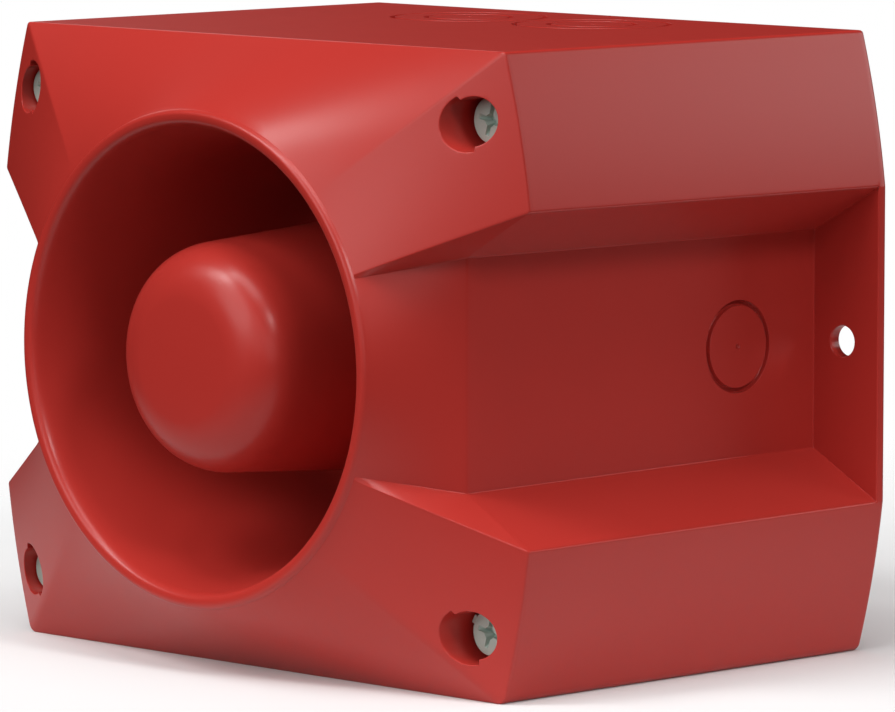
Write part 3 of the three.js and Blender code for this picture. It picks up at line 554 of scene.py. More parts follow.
SKIN_STEPS = 18
LIP_OUTER = [(55.0, -133.55), (54.76, -134.2), (54.35, -134.8), (53.7, -134.8)]
LIP_INNER = [(53.7, -134.8), (52.2, -134.8), (51.6, -134.5), (50.95, -131.4)]
FLARE = [(50.95, -131.4), (47.5, -115), (44.7, -95), (42.6, -78), (41.9, -71.5)]
FLOOR_BEND = [(41.9, -71.5), (41.0, -62.9), (33.5, -62.5)]


def cover_shell():
    edge = body_ring(-DEPTH)
    lip = lip_ring(*LIP_OUTER[0])
    run = lip - edge
    reach = EDGE_SOFTNESS / np.linalg.norm(run, axis=1)[:, None]
    side = body_ring(-DEPTH + EDGE_SOFTNESS)
    front = edge + run * reach
    rings = [body_ring(RIM_Y - RIM_GAP, WALL + RIM_STEP), body_ring(RIM_Y - RIM_GAP)]
    for i in range(7):
        t = i / 6
        rings.append(blend_rings(side, edge, front, t))
    for i in range(1, SKIN_STEPS + 1):
        rings.append(front + (lip - front) * i / SKIN_STEPS)
    rings += [lip_ring(*p) for p in bezier(LIP_OUTER, 8)[1:]]
    rings += [lip_ring(*p) for p in bezier(LIP_INNER, 10)[1:]]
    inside = through(FLARE, 5)[1:] + bezier(FLOOR_BEND, 8)[1:]
    rings += [lip_ring(*p) for p in inside]
    rings += [lip_ring(r, HORN_FLOOR_Y) for r in (24, 15, THROAT_HOLE + 0.3)]
    rings += [lip_ring(THROAT_HOLE, HORN_FLOOR_Y + 0.3), lip_ring(THROAT_HOLE, HORN_BACK_Y)]
    rings += [lip_ring(r, HORN_BACK_Y) for r in (20, 30)]
    shoulder = [(36, HORN_BACK_Y), (44, HORN_BACK_Y), (44.4, -70)]
    rings += [lip_ring(r, y) for r, y in bezier(shoulder, 6)]
    rings += [lip_ring(r + HORN_WALL, y) for r, y in ((42.6, -78), (44.7, -95), (47.5, -115))]
    hollow = lip_ring(*HORN_BACK_MOUTH)
    rings.append(hollow)
    inner = body_ring(RIM_Y - RIM_GAP, WALL + RIM_STEP)
    rings += [hollow + (inner - hollow) * t for t in (0.25, 0.5, 0.75)]
    return loft("front_cover_look", rings, looped=True)


def corner_spots():
    """The places (x, z) of the cover screws, and the side each one is on."""
    return [(x * SCREW_X, z * SCREW_Z, x) for x, z in ((1, 1), (-1, 1), (-1, -1), (1, -1))]


def surface_under(target):
    """A function that gives the y of the target's front at x, z, all in millimetres."""
    edit = bmesh.new()
    edit.from_mesh(target.data)
    tree = BVHTree.FromBMesh(edit)
    edit.free()

    def front_at(x, z):
        hit = tree.ray_cast(Vector((x, -160, z)) * MM, Vector((0, 1, 0)))[0]
        return hit[1] / MM if hit else None

    return front_at


def polar_cutter(name, radius_at, spot, heights, segments=144):
    """A loft along Y around spot; radius_at(angle) is its section, and heights gives for each
    angle the list of (y, extra radius) rows."""
    x0, z0 = spot
    turns = [360 * j / segments for j in range(segments)]
    rows = [heights(turn) for turn in turns]
    rings = []
    for i in range(len(rows[0])):
        ring = []
        for turn, row in zip(turns, rows):
            y, extra = row[i]
            radius = radius_at(turn) + extra
            angle = math.radians(turn)
            ring.append((x0 + radius * math.cos(angle), y, z0 + radius * math.sin(angle)))
        rings.append(ring)
    return loft(name, rings)


def bore_section(side):
    """The screw bore's radius at each angle: wider over one sector, with slightly rounded ends."""
    start = BORE["from"] + (0 if side > 0 else 180)
    span = BORE["to"] - BORE["from"]
    soft = 2.5

    def radius_at(angle):
        into = (angle - start) % 360
        if into < span:
            t = min(1.0, min(into, span - into) / soft)
        else:
            t = 0.0
        t = t * t * (3 - 2 * t)
        swell = BORE["swell"] * max(0.0, math.sin(math.pi * into / span)) if into < span else 0.0
        return BORE["radius"] + (BORE["wide"] - BORE["radius"]) * t + swell

    return radius_at


def screw_bore(name, x, z, side, front_at):
    section = bore_section(side)
    round_off = 0.28

    def heights(angle):
        turn = math.radians(angle)
        radius = section(angle)
        rows = [(SEAT_Y, 0.0)]
        surface = front_at(x + radius * math.cos(turn), z + radius * math.sin(turn))
        outer = radius + round_off
        wide = front_at(x + outer * math.cos(turn), z + outer * math.sin(turn))
        surface = -DEPTH if surface is None else surface
        wide = surface if wide is None else wide
        for extra, y in bezier([(0, surface + round_off), (0, surface), (round_off, wide)], 4):
            rows.append((y, extra))
        rows.append((wide - 0.4, round_off + 0.12))
        rows.append((-140, round_off + 0.12))
        return rows

    return polar_cutter(name, section, (x, z), heights)


def screw_sleeve(name, x, z, front_at):
    """The tube around a screw, kept inside the skin and clear of the housing's wall."""
    limit = body_ring(-DEPTH + 3, WALL + 0.25)[:, [0, 2]]
    edges = np.roll(limit, -1, axis=0) - limit

    def clear_at(angle):
        way = np.array([math.cos(math.radians(angle)), math.sin(math.radians(angle))])
        across = edges[:, 0] * way[1] - edges[:, 1] * way[0]
        safe = np.where(np.abs(across) < 1e-9, 1e-9, across)
        offset = np.array([x, z]) - limit
        along = (offset[:, 0] * way[1] - offset[:, 1] * way[0]) / safe
        reach = (offset[:, 0] * edges[:, 1] - offset[:, 1] * edges[:, 0]) / safe
        hits = reach[(along >= 0) & (along <= 1) & (reach > 0)]
        return min(SLEEVE["radius"], hits.min()) if len(hits) else SLEEVE["radius"]

    def heights(angle):
        turn = math.radians(angle)
        radius = clear_at(angle)
        surface = front_at(x + radius * math.cos(turn), z + radius * math.sin(turn))
        return [(SLEEVE["end"], 0.0), ((surface if surface else -DEPTH) + 1.0, 0.0)]

    return polar_cutter(name, clear_at, (x, z), heights, segments=96)


def leg_spots(radius):
    turns = [math.radians(a) for a in LEG_ANGLES]
    return [(radius * math.cos(t), radius * math.sin(t)) for t in turns]


def build_front_cover():
    shell = cover_shell()
    front_at = surface_under(shell)
    corners = corner_spots()
    sleeves = [screw_sleeve(f"sleeve_{i}", x, z, front_at) for i, (x, z, _) in enumerate(corners)]
    posts = rods("post", POST_R, HORN_BACK_Y - 1, POST_END_Y, POSTS, 32)
    combine(shell, sleeves + posts, "UNION")
    cutters = [screw_bore(f"bore_{i}", x, z, side, front_at) for i, (x, z, side) in enumerate(corners)]
    cutters += rods("shank", SHANK_HOLE_R, SEAT_Y - 1, SLEEVE["end"] + 1, corners, 40)
    cutters += rods("pilot", PILOT_R, POST_PILOT_Y, POST_END_Y + 1, POSTS, 24)
    cutters += rods("leg", CLEAR_HOLE_R, HORN_FLOOR_Y - 1, HORN_BACK_Y + 1, leg_spots(LEG_R), 32)
    driver_spots = leg_spots(-DRIVER_SCREW_R)
    cutters += rods("driver", PILOT_R, HORN_BACK_Y - 2.6, HORN_BACK_Y + 1, driver_spots, 24)
    combine(shell, cutters, "DIFFERENCE")
    shade(shell, 28)
    return dress(shell, "cover", "red_plastic", "front_cover")


# ------------------------------------------------------------------ housing


def housing_shell():
    rear_fillet = 1.5
    inner_fillet = 1.2
    rings = [body_ring(-REAR_WALL, WALL + inner_fillet)]
    for i in range(5):
        turn = math.radians(90 * i / 4)
        depth = -REAR_WALL - inner_fillet * (1 - math.cos(turn))
        rings.append(body_ring(depth, WALL + inner_fillet * (1 - math.sin(turn))))
    rings += [body_ring(y, WALL) for y in (-30, -60, -90, RIM_Y + 1.6)]
    rings += [body_ring(RIM_Y + 1.6, WALL / 2), body_ring(RIM_Y, WALL / 2)]
    bend = FILLET["foot"]
    rings += [body_ring(y) for y in (RIM_Y, -112, -104, -90, -75, -60, -45, -30, -15, -EAR - bend)]
    foot = body_ring(-EAR - bend)
    plate = body_ring(-EAR)
    slab = body_ring(-EAR, slab=True)
    spread_out = slab - plate
    moved = np.linalg.norm(spread_out, axis=1)
    onward = np.where(moved > 1e-3, bend / np.maximum(moved, bend), 0)[:, None]
    for i in range(1, 5):
        t = i / 4
        rings.append(blend_rings(foot, plate, plate + spread_out * onward, t))
    back_off = np.where(moved > 1e-3, 1 - 0.5 / np.maximum(moved, 0.5), 1)[:, None]
    edge_in = plate + spread_out * back_off
    edge_down = body_ring(-EAR + 0.5, slab=True)
    for i in range(0, 4):
        t = i / 3
        rings.append(blend_rings(edge_in, slab, edge_down, t))
    for i in range(7):
        turn = math.radians(90 * i / 6)
        depth = -rear_fillet + rear_fillet * math.sin(turn)
        rings.append(body_ring(depth, rear_fillet * (1 - math.cos(turn)), slab=True))
    return loft("housing_look", rings)


def ring_groove(name, radius, spot, facing):
    """A cutter for the thinned ring round a knock-out, facing out along +Z or +-X."""
    width, depth = ENTRY["groove"], ENTRY["depth"]
    inner, outer = radius - width, radius
    lift = 0.06
    profile = [
        (inner - lift, 0.6), (inner - lift, 0.02), (inner, -lift), (inner + 0.02, -depth + 0.1),
        (inner + 0.12, -depth), (outer - 0.12, -depth), (outer - 0.02, -depth + 0.1),
        (outer, -lift), (outer + lift, 0.02), (outer + lift, 0.6),
    ]
    made = lathe(name, profile + [profile[0]], 128)
    return aim(made, spot, facing)


def dimple(name, spot, facing):
    made = lathe(name, [(0, -0.7), (0.35, -0.6), (0.6, -0.25), (0.75, 0.02), (0.75, 0.6), (0, 0.6)], 32)
    return aim(made, spot, facing)


def aim(target, spot, facing):
    """Turns a cutter built around +Y so that +Y faces the given way, and puts it at spot."""
    turn = Vector((0, 1, 0)).rotation_difference(Vector(facing)).to_matrix().to_4x4()
    target.data.transform(Matrix.Translation(Vector(spot) * MM) @ turn)
    return target


def ear_hole(name, x):
    r = EAR_HOLE["radius"]
    profile = [(0, -EAR - 1), (r + 0.3, -EAR - 1), (r + 0.3, -EAR - 0.01)]
    profile += [(r + 0.1, -EAR + 0.12), (r, -EAR + 0.35)]
    profile += [(r, -0.35), (r + 0.1, -0.12), (r + 0.3, 0.01), (r + 0.3, 1), (0, 1)]
    return lathe(name, profile, 64, (x, 0, 0))


def build_housing():
    shell = housing_shell()
    inside = -REAR_WALL + 1.1
    columns = rods("column", COLUMN["radius"], COLUMN["end"], inside, corner_spots(), 64)
    posts = rods("base_post", POST_R, BASE_POST_END_Y, inside, BASE_POSTS, 32)
    combine(shell, columns + posts, "UNION")
    bore_end = COLUMN["bore_end"]
    cutters = rods("column_bore", COLUMN["bore"], COLUMN["end"] - 1, bore_end, corner_spots(), 48)
    cutters += rods("base_pilot", PILOT_R, -10, -REAR_WALL - 1, BASE_POSTS, 24)
    cutters += [ear_hole(f"ear_hole_{side}", side * EAR_HOLE["x"]) for side in (-1, 1)]
    for side in (-1, 1):
        spot = (side * ENTRY["top_x"], ENTRY_Y, HALF_HEIGHT)
        for size in ("small", "large"):
            cutters.append(ring_groove(f"top_{size}_{side}", ENTRY[size], spot, (0, 0, 1)))
        cutters.append(dimple(f"top_dimple_{side}", spot, (0, 0, 1)))
        recess = (side * OUTLINE_FRONT["foot"][0], ENTRY_Y, 0)
        cutters.append(ring_groove(f"side_small_{side}", ENTRY["small"], recess, (side, 0, 0)))
        cutters.append(dimple(f"side_dimple_{side}", recess, (side, 0, 0)))
    combine(shell, cutters, "DIFFERENCE")
    shade(shell, 28)
    return dress(shell, "base", "red_plastic", "housing")


# ------------------------------------------------------------------ bullet and throat


def build_bullet():
    front, rear, draft, side_r = -137.3, -72, 0.069, 25.5
    side_at = lambda y: side_r + draft * (y + 125)
    wall = 2.2
    rim = 12.4
    crown = 0.9
    face_y = front + crown
    flat_r = side_at(front + rim) - rim + 0.4
    outer = [(0, front)]
    outer += [(flat_r * t, front + crown * t * t * 0.55) for t in (0.25, 0.5, 0.75)]
    start = (flat_r, front + crown * 0.55)
    end_y = front + rim + 0.6
    knee_y = front + rim * 0.42
    handles = [(flat_r + rim * 0.56, start[1] + 0.75), (side_at(knee_y) + 0.1, knee_y)]
    outer += bezier([start, *handles, (side_at(end_y), end_y)], 18)
    outer += [(side_at(y), y) for y in (-115, -100, -85, rear - 0.6)]
    outer += [(side_at(rear) - 0.15, rear - 0.15), (side_at(rear) - 0.6, rear)]
    inner = [(side_at(rear) - 1.8, rear), (side_at(rear) - wall, rear - 0.4)]
    inner += [(side_at(y) - wall, y) for y in (-90, -110, -122)]
    bend = [(side_at(-122) - wall, -122), (side_at(-134) - 2.4, -134.6), (9, face_y + wall)]
    inner += bezier(bend, 10)[1:]
    inner.append((0, front + wall))
    cup = lathe("bullet_look", outer + inner, 160)
    spots = leg_spots(LEG_R)
    combine(cup, rods("bullet_leg", 2.8, -78, HORN_FLOOR_Y - 0.05, spots, 40), "UNION")
    pilots = rods("bullet_pilot", PILOT_R, HORN_FLOOR_Y - 8, HORN_FLOOR_Y + 1, spots, 24)
    combine(cup, pilots, "DIFFERENCE")
    shade(cup, 30)
    return dress(cup, "cover", "red_plastic", "bullet")


# ------------------------------------------------------------------ cover screws

LUG_ANGLES = (262, 82, -27, 153)
CROSS_TILT = -15
CROSS_TAPER = {"reach": 0.55, "width": 0.8}  # shares left at the bottom of a cross recess
HEAD_Y = -112.6


def cross_cutter(name, reach, width, depth):
    """A tapered cross recess opening towards -Y."""
    half = width / 2
    tip, waist = reach * CROSS_TAPER["reach"], half * CROSS_TAPER["width"]
    arms = []
    for k in range(2):
        x1, z1 = (reach, half) if k == 0 else (half, reach)
        low = [(-x1, -z1), (x1, -z1), (x1, z1), (-x1, z1)]
        x2, z2 = (tip, waist) if k == 0 else (waist, tip)
        deep = [(-x2, -z2), (x2, -z2), (x2, z2), (-x2, z2)]
        points = [(x, y, z) for y in (-1.0, 0.05) for x, z in low] + [(x, depth, z) for x, z in deep]
        faces = [(3, 2, 1, 0), (8, 9, 10, 11)]
        for row in (0, 4):
            for j in range(4):
                m = (j + 1) % 4
                faces.append((row + j, row + m, row + 4 + m, row + 4 + j))
        arms.append(mesh_object(f"{name}_{k}", points, faces))
    made = combine(arms[0], [arms[1]], "UNION")
    made.name = name
    return made


def build_cover_screw(index, x, z):
    node = f"cover_screw_{index + 1}"
    head_r, depth, edge = 5.0, 3.0, 0.35
    profile = [(0, 0)] + arc((head_r - edge, edge), edge, 270, 360, 5)
    profile += [(head_r, depth - 0.2), (head_r - 0.2, depth), (2.9, depth), (2.5, depth + 0.4)]
    profile += [(2.5, 19.3), (1.8, 20), (0, 20)]
    body = lathe(f"{node}_look", profile, 96)
    lug = block("lug", (3.6, 0.4, -1.05), (5.93, depth, 1.05), 0.25, 3)
    turn_about_y(lug, LUG_ANGLES[index])
    pin = block("pin", (-3.6, 17.6, -0.75), (3.6, 19.2, 0.75), 0.2, 2)
    combine(body, [lug, pin], "UNION")
    cross = turn_about_y(cross_cutter("cross", 3.4, 1.15, 2.4), CROSS_TILT)
    centre = lathe("centre", [(0, -1), (1.45, -1), (1.45, 0.1), (0.8, 2.5), (0, 2.7)], 32)
    combine(body, [cross, centre], "DIFFERENCE")
    shift(body, x, HEAD_Y, z)
    shade(body, 30)
    return dress(body, node, "zinc_steel", node, finish="screw_head")


# ------------------------------------------------------------------ fasteners and seals


def pan_screw(node, body, spot, length, flipped=False):
    """A pan-head screw with a cross recess and a ridged shank; its seat is at spot."""
    head_r, head_h, shank_r, ridge = 2.6, 1.6, 1.08, 0.16
    profile = [(0, -length), (0.5, -length + 0.1), (shank_r, -length + 0.9)]
    y = -length + 1.0
    while y < -0.6:
        profile += [(shank_r, y), (shank_r + ridge, y + 0.17), (shank_r, y + 0.34)]
        y += 0.5
    profile += [(shank_r, -0.1), (shank_r, 0), (head_r - 0.1, 0), (head_r, 0.12), (head_r, head_h * 0.4)]
    crown = [(head_r, head_h * 0.4), (head_r * 0.98, head_h * 0.95), (head_r * 0.45, head_h)]
    profile += bezier(crown, 6)[1:]
    profile.append((0, head_h))
    made = lathe(f"{node}_look", profile, 40)
    recess = cross_cutter("recess", 1.5, 0.6, 1.1)
    flip = Matrix.Rotation(math.pi, 4, "X")
    recess.data.transform(Matrix.Translation((0, head_h * MM, 0)) @ flip)
    combine(made, [recess], "DIFFERENCE")
    if flipped:
        made.data.transform(flip)
    shift(made, *spot)
    shade(made, 35)
    return dress(made, body, "zinc_steel", node)


def build_fasteners():
    for i, (x, z) in enumerate(leg_spots(LEG_R)):
        pan_screw(f"bullet_screw_{i + 1}", "cover", (x, HORN_BACK_Y + 0.1, z), 10)
    for i, (x, z) in enumerate(leg_spots(-DRIVER_SCREW_R)):
        pan_screw(f"driver_screw_{i + 1}", "cover", (x, -53.3, z), 7.6)
    for i, (x, z) in enumerate(POSTS):
        pan_screw(f"main_board_screw_{i + 1}", "cover", (x, BOARD_TOP, z), 7)
    for i, (x, z) in enumerate(BASE_POSTS):
        pan_screw(f"terminal_board_screw_{i + 1}", "base", (x, BASE_BOARD_Y - 0.1, z), 4, flipped=True)


def build_receptacles():
    """Brass bushes with a keyhole for the screw's cross pin, and the seals under the heads."""
    for i, (x, z, _) in enumerate(corner_spots()):
        front = COLUMN["end"] + 0.1
        profile = [(0, front), (4.3, front), (4.5, front + 0.2), (4.5, -96.2), (4.3, -96), (0, -96)]
        bush = lathe(f"screw_receptacle_{i + 1}_look", profile, 64)
        key = [(0, front - 1), (3.1, front - 1), (3.1, front), (2.85, front + 0.25), (2.85, -95), (0, -95)]
        cut = lathe("key", key, 48)
        wings = block("wings", (-3.9, front - 1.5, -1), (3.9, -95, 1))
        combine(bush, [cut, wings], "DIFFERENCE")
        shift(bush, x, 0, z)
        shade(bush, 30)
        dress(bush, "base", "brass", f"screw_receptacle_{i + 1}")
        low, high = SEAT_Y - 0.85, SEAT_Y - 0.05
        section = [(2.95, low), (4.8, low), (5.0, low + 0.2), (5.0, high - 0.2), (4.8, high), (2.95, high)]
        section += [(2.75, high - 0.2), (2.75, low + 0.2)]
        seal = lathe(f"screw_seal_{i + 1}_look", section + [section[0]], 64, (x, 0, z))
        shade(seal, 40)
        dress(seal, "cover", "black_rubber", f"screw_seal_{i + 1}")


def build_cover_gasket():
    """A rubber band with a rounded section that lies in the housing's rebate."""
    front, rear, outer, inner = RIM_Y + 0.05, RIM_Y + 1.5, 1.5, 2.4
    section = [(outer + 0.3, front), (outer + 0.08, front + 0.1), (outer, front + 0.35), (outer, rear - 0.2)]
    section += [(outer + 0.2, rear), (inner - 0.2, rear), (inner, rear - 0.2), (inner, front + 0.35)]
    section += [(inner - 0.08, front + 0.1), (inner - 0.3, front)]
    band = loft("cover_gasket_look", [body_ring(y, inset) for inset, y in section], looped=True)
    shade(band, 50)
    return dress(band, "base", "black_rubber", "cover_gasket")


# ------------------------------------------------------------------ driver

TURNED_SEGMENTS = 96
DRIVER_R = 23.5
MAGNET_R = 16.5
CLAMP_HOLE_R = 1.8


def turned_part(node, profile, slot, cuts=(), angle=30):
    made = lathe(f"{node}_look", profile, TURNED_SEGMENTS)
    if cuts:
        combine(made, list(cuts), "DIFFERENCE")
    shade(made, angle)
    return dress(made, BODY_OF[node], slot, node)


def screw_holes(y0, y1):
    return rods("hole", CLAMP_HOLE_R, y0, y1, leg_spots(-DRIVER_SCREW_R), 32)


def band_profile(inner, outer, low, high, soft=0.2):
    """The section of a ring with slightly rounded edges, closed on itself."""
    points = [
        (inner + soft, low), (outer - soft, low), (outer, low + soft), (outer, high - soft),
        (outer - soft, high), (inner + soft, high), (inner, high - soft), (inner, low + soft),
    ]
    return points + [points[0]]


def build_driver():
    back = HORN_BACK_Y + 0.1
    tube = [(8.6, -117.7), (8.9, -118), (9.7, -118), (10, -117.7), (10, back - 0.5), (10.3, back)]
    tube += [(13.2, back), (13.5, back + 0.3), (13.5, back + 1.2), (13.2, back + 1.5)]
    tube += [(7.8, back + 1.5), (7.5, back + 1.2)]
    turned_part("throat_tube", tube + [tube[0]], "black_plastic")
    gasket = band_profile(13.8, DRIVER_R, back, back + 1.5)
    turned_part("driver_gasket", gasket, "black_rubber", screw_holes(-62, -55))
    clamp = [(9.2, -57.3), (23.2, -57.3), (DRIVER_R, -57.0), (DRIVER_R, -53.7), (23.2, -53.4)]
    clamp += [(16.5, -53.4), (16.2, -53.7), (16.2, -56), (9.2, -56), (9, -56.2), (9, -57.1)]
    turned_part("driver_clamp_ring", clamp + [clamp[0]], "black_plastic", screw_holes(-59, -52))
    dome = [(r, -54.6 - 2.2 * (1 - (r / 11) ** 2)) for r in (0, 2, 4, 6, 8, 9.5, 10.6)]
    roll = [(11.3, -54.5), (12.2, -54.9), (13.2, -55.05), (14.2, -54.9), (15.0, -54.6), (15.8, -54.6)]
    front = dome + roll
    rear = [(r, y + 0.3) for r, y in reversed(front)]
    turned_part("diaphragm", front + rear, "phenolic_film", angle=50)
    coil = [(10.95, -54), (11.5, -54)]
    for k in range(18):
        y = -53.95 + k * 0.205
        coil += [(11.48, y), (11.56, y + 0.1)]
    coil += [(11.5, -50.2), (10.95, -50.2)]
    turned_part("voice_coil", coil + [coil[0]], "copper", angle=60)
    turned_part("top_plate", band_profile(12.1, MAGNET_R, -53.25, -50.4), "steel")
    turned_part("magnet", band_profile(13, MAGNET_R, -50.3, -42.3, 0.35), "ferrite")
    pole = [(0, -53.1), (10.2, -53.1), (10.5, -52.8), (10.5, -42.2), (16.2, -42.2), (MAGNET_R, -41.9)]
    pole += [(MAGNET_R, -39.9), (16.2, -39.6), (0, -39.6)]
    turned_part("pole_piece", pole, "steel")


# ------------------------------------------------------------------ boards and components

BOARD_TOP = -31.3
BOARD_FRONT = -33
BASE_BOARD_Y = -10
BOARD = 1.6
CONTACT = {"x": -18, "z": -47, "pitch": 3.5}
TERMINAL = {"x": 10, "z": -45, "pitch": 7, "front": -22}
DIP = {"x": -12, "z": 16, "pitch": 2.54, "rear": -27.4}
TRIMMER = (8, 18)


def offsets(count, pitch):
    return [(i - (count - 1) / 2) * pitch for i in range(count)]


CONTACT_OFFSETS = offsets(4, CONTACT["pitch"])
TERMINAL_OFFSETS = offsets(4, TERMINAL["pitch"])
DIP_OFFSETS = offsets(4, DIP["pitch"])


def board(node, body, low, high, hole_spots):
    made = block(f"{node}_look", low, high, 0.15, 2)
    combine(made, rods("hole", CLEAR_HOLE_R, low[1] - 1, high[1] + 1, hole_spots, 32), "DIFFERENCE")
    shade(made, 30)
    return dress(made, body, "green_laminate", node)


def solder_joints(name, body, y, facing, spots):
    """Small domes of solder on one face of a board."""
    domes = []
    for i, (x, z) in enumerate(spots):
        profile = [(0, 0), (0.95, 0), (0.8, 0.12), (0.5, 0.35), (0.28, 0.62), (0, 0.68)]
        dome = lathe(f"{name}_{i}", profile, 20)
        if facing < 0:
            dome.data.transform(Matrix.Rotation(math.pi, 4, "X"))
        domes.append(shift(dome, x, y, z))
    made = join(domes[0], domes[1:])
    made.name = name
    shade(made, 60)
    return dress(made, body, "steel")


def span(x, z, half_x, half_z, y0, y1):
    """Two opposite corners of a box centred on x, z."""
    return (x - half_x, y0, z - half_z), (x + half_x, y1, z + half_z)


def plain_part(node, slot, corners, bevel, body="cover", cuts=()):
    made = block(f"{node}_look", *corners, bevel, 3)
    if cuts:
        combine(made, list(cuts), "DIFFERENCE")
    shade(made, 30)
    return dress(made, body, slot, node)


def build_boards():
    front, rear = BOARD_FRONT, BASE_BOARD_Y
    board("main_board", "cover", (-32, front, -52), (32, front + BOARD, 30), POSTS)
    board("terminal_board", "base", (-30, rear, -60), (30, rear + BOARD, -38), BASE_POSTS)
    contact_pads = [(CONTACT["x"] + dx, CONTACT["z"]) for dx in CONTACT_OFFSETS]
    pads = list(contact_pads)
    pads += [(DIP["x"] + dx, DIP["z"] + side * 3.8) for dx in DIP_OFFSETS for side in (-1, 1)]
    pads += [(TRIMMER[0] + dx, TRIMMER[1] + dz) for dx, dz in ((-2.5, -2.5), (2.5, -2.5), (0, 2.5))]
    pads += [(20 + dx, z) for z in (2, -12) for dx in (-1.9, 1.9)]
    pads += [(-18 + dx, -2) for dx in (-5, 5)] + [(20 + dx, -43.5) for dx in (-2.54, 0, 2.54)]
    solder_joints("main_board_solder", "cover", front - 0.03, -1, pads)
    base_pads = contact_pads + [(TERMINAL["x"] + dx, TERMINAL["z"] + 1.5) for dx in TERMINAL_OFFSETS]
    solder_joints("terminal_board_solder", "base", rear + BOARD + 0.03, 1, base_pads)


def build_contacts():
    x, z, half = CONTACT["x"], CONTACT["z"], 8
    top = BASE_BOARD_Y - 0.1
    header = span(x, z, half, 2.5, top - 2.5, top)
    plain_part("contact_header", "black_plastic", header, 0.3, "base")
    pins, cuts, mouths = [], [], []
    for dx in CONTACT_OFFSETS:
        pins.append(block(f"pin_{dx}", *span(x + dx, z, 0.48, 0.48, -28, top - 2.53), 0.2, 2))
        cuts.append(block(f"slot_{dx}", *span(x + dx, z, 0.8, 0.8, -29, -22)))
        mouths.append(block(f"mouth_{dx}", *span(x + dx, z, 1.15, 1.15, -23.2, -22), 0.3, 2))
    made = join(pins[0], pins[1:])
    made.name = "contact_pins"
    shade(made, 30)
    dress(made, "base", "brass")
    socket = span(x, z, half, 2.8, BOARD_TOP, -22.8)
    plain_part("contact_socket", "black_plastic", socket, 0.3, cuts=cuts + mouths)


def build_terminals():
    x, z, front, half = TERMINAL["x"], TERMINAL["z"], TERMINAL["front"], 14
    screw_z = z - 1.5
    cuts = []
    for dx in TERMINAL_OFFSETS:
        place = (x + dx, 0, screw_z)
        cuts.append(cylinder(f"well_{dx}", 2.35, front - 1, front + 6, place, 40))
        entry = (x + dx - 2.2, front + 6.5, z - 3), (x + dx + 2.2, front + 10.5, z + 6)
        cuts.append(block(f"entry_{dx}", *entry, 0.3, 2))
        cuts.append(cylinder(f"way_{dx}", 1.2, front + 5, front + 8, place, 24))
    for dx in offsets(3, TERMINAL["pitch"]):
        cuts.append(block(f"groove_{dx}", *span(x + dx, z, 0.25, 6, front - 1, front + 0.7)))
    housing = span(x, z, half, 5, front, BASE_BOARD_Y - 0.1)
    plain_part("terminal_block", "green_plastic", housing, 0.45, "base", cuts)
    for i, dx in enumerate(TERMINAL_OFFSETS):
        node = f"terminal_screw_{i + 1}"
        profile = [(0, 0), (1.85, 0), (2.1, 0.25), (2.1, 1.8), (1.1, 1.8)]
        for k in range(9):
            profile += [(0.95, 2.1 + k * 0.5), (1.08, 2.35 + k * 0.5)]
        profile += [(0.9, 6.8), (0, 6.8)]
        screw = lathe(f"{node}_look", profile, 48)
        combine(screw, [block("slot", (-3, -1, -0.35), (3, 0.95, 0.35))], "DIFFERENCE")
        shift(screw, x + dx, front + 1.2, screw_z)
        shade(screw, 35)
        dress(screw, node, "zinc_steel", node)


def build_dip_switch():
    x, z, rear = DIP["x"], DIP["z"], DIP["rear"]
    half = 4 * DIP["pitch"] / 2 + 0.8
    slots = []
    for dx in DIP_OFFSETS:
        slots.append(block(f"slot_{dx}", *span(x + dx, z, 0.75, 2, rear - 1.6, rear + 1)))
    plain_part("dip_switch", "blue_plastic", span(x, z, half, 4.6, BOARD_TOP, rear), 0.3, cuts=slots)
    for i, dx in enumerate(DIP_OFFSETS):
        node = f"dip_lever_{i + 1}"
        lever = block(f"{node}_look", (-0.6, -1.3, -0.8), (0.6, -0.3, 0.8), 0.1, 2)
        knob = block("knob", (-0.45, -0.6, -0.5), (0.45, 0.6, 0.5), 0.15, 3)
        combine(lever, [knob], "UNION")
        shift(lever, x + dx, rear, z - 1)
        shade(lever, 35)
        dress(lever, node, "white_plastic", node)


def build_trimmer():
    x, z = TRIMMER
    rear = -26.2
    pocket = cylinder("pocket", 3.4, rear - 1.4, rear + 1, (x, 0, z), 64)
    plain_part("volume_trimmer", "blue_plastic", span(x, z, 5, 5, BOARD_TOP, rear), 0.35, cuts=[pocket])
    profile = [(0, -1.2), (3.1, -1.2), (3.1, 0.15), (2.95, 0.35), (2.7, 0.5), (0, 0.5)]
    rotor = lathe("trimmer_rotor_look", profile, 64)
    combine(rotor, [block("slot", (-2.3, -0.4, -0.4), (2.3, 1, 0.4), 0.1, 2)], "DIFFERENCE")
    shift(rotor, x, rear, z)
    shade(rotor, 30)
    dress(rotor, "trimmer_rotor", "white_plastic", "trimmer_rotor")


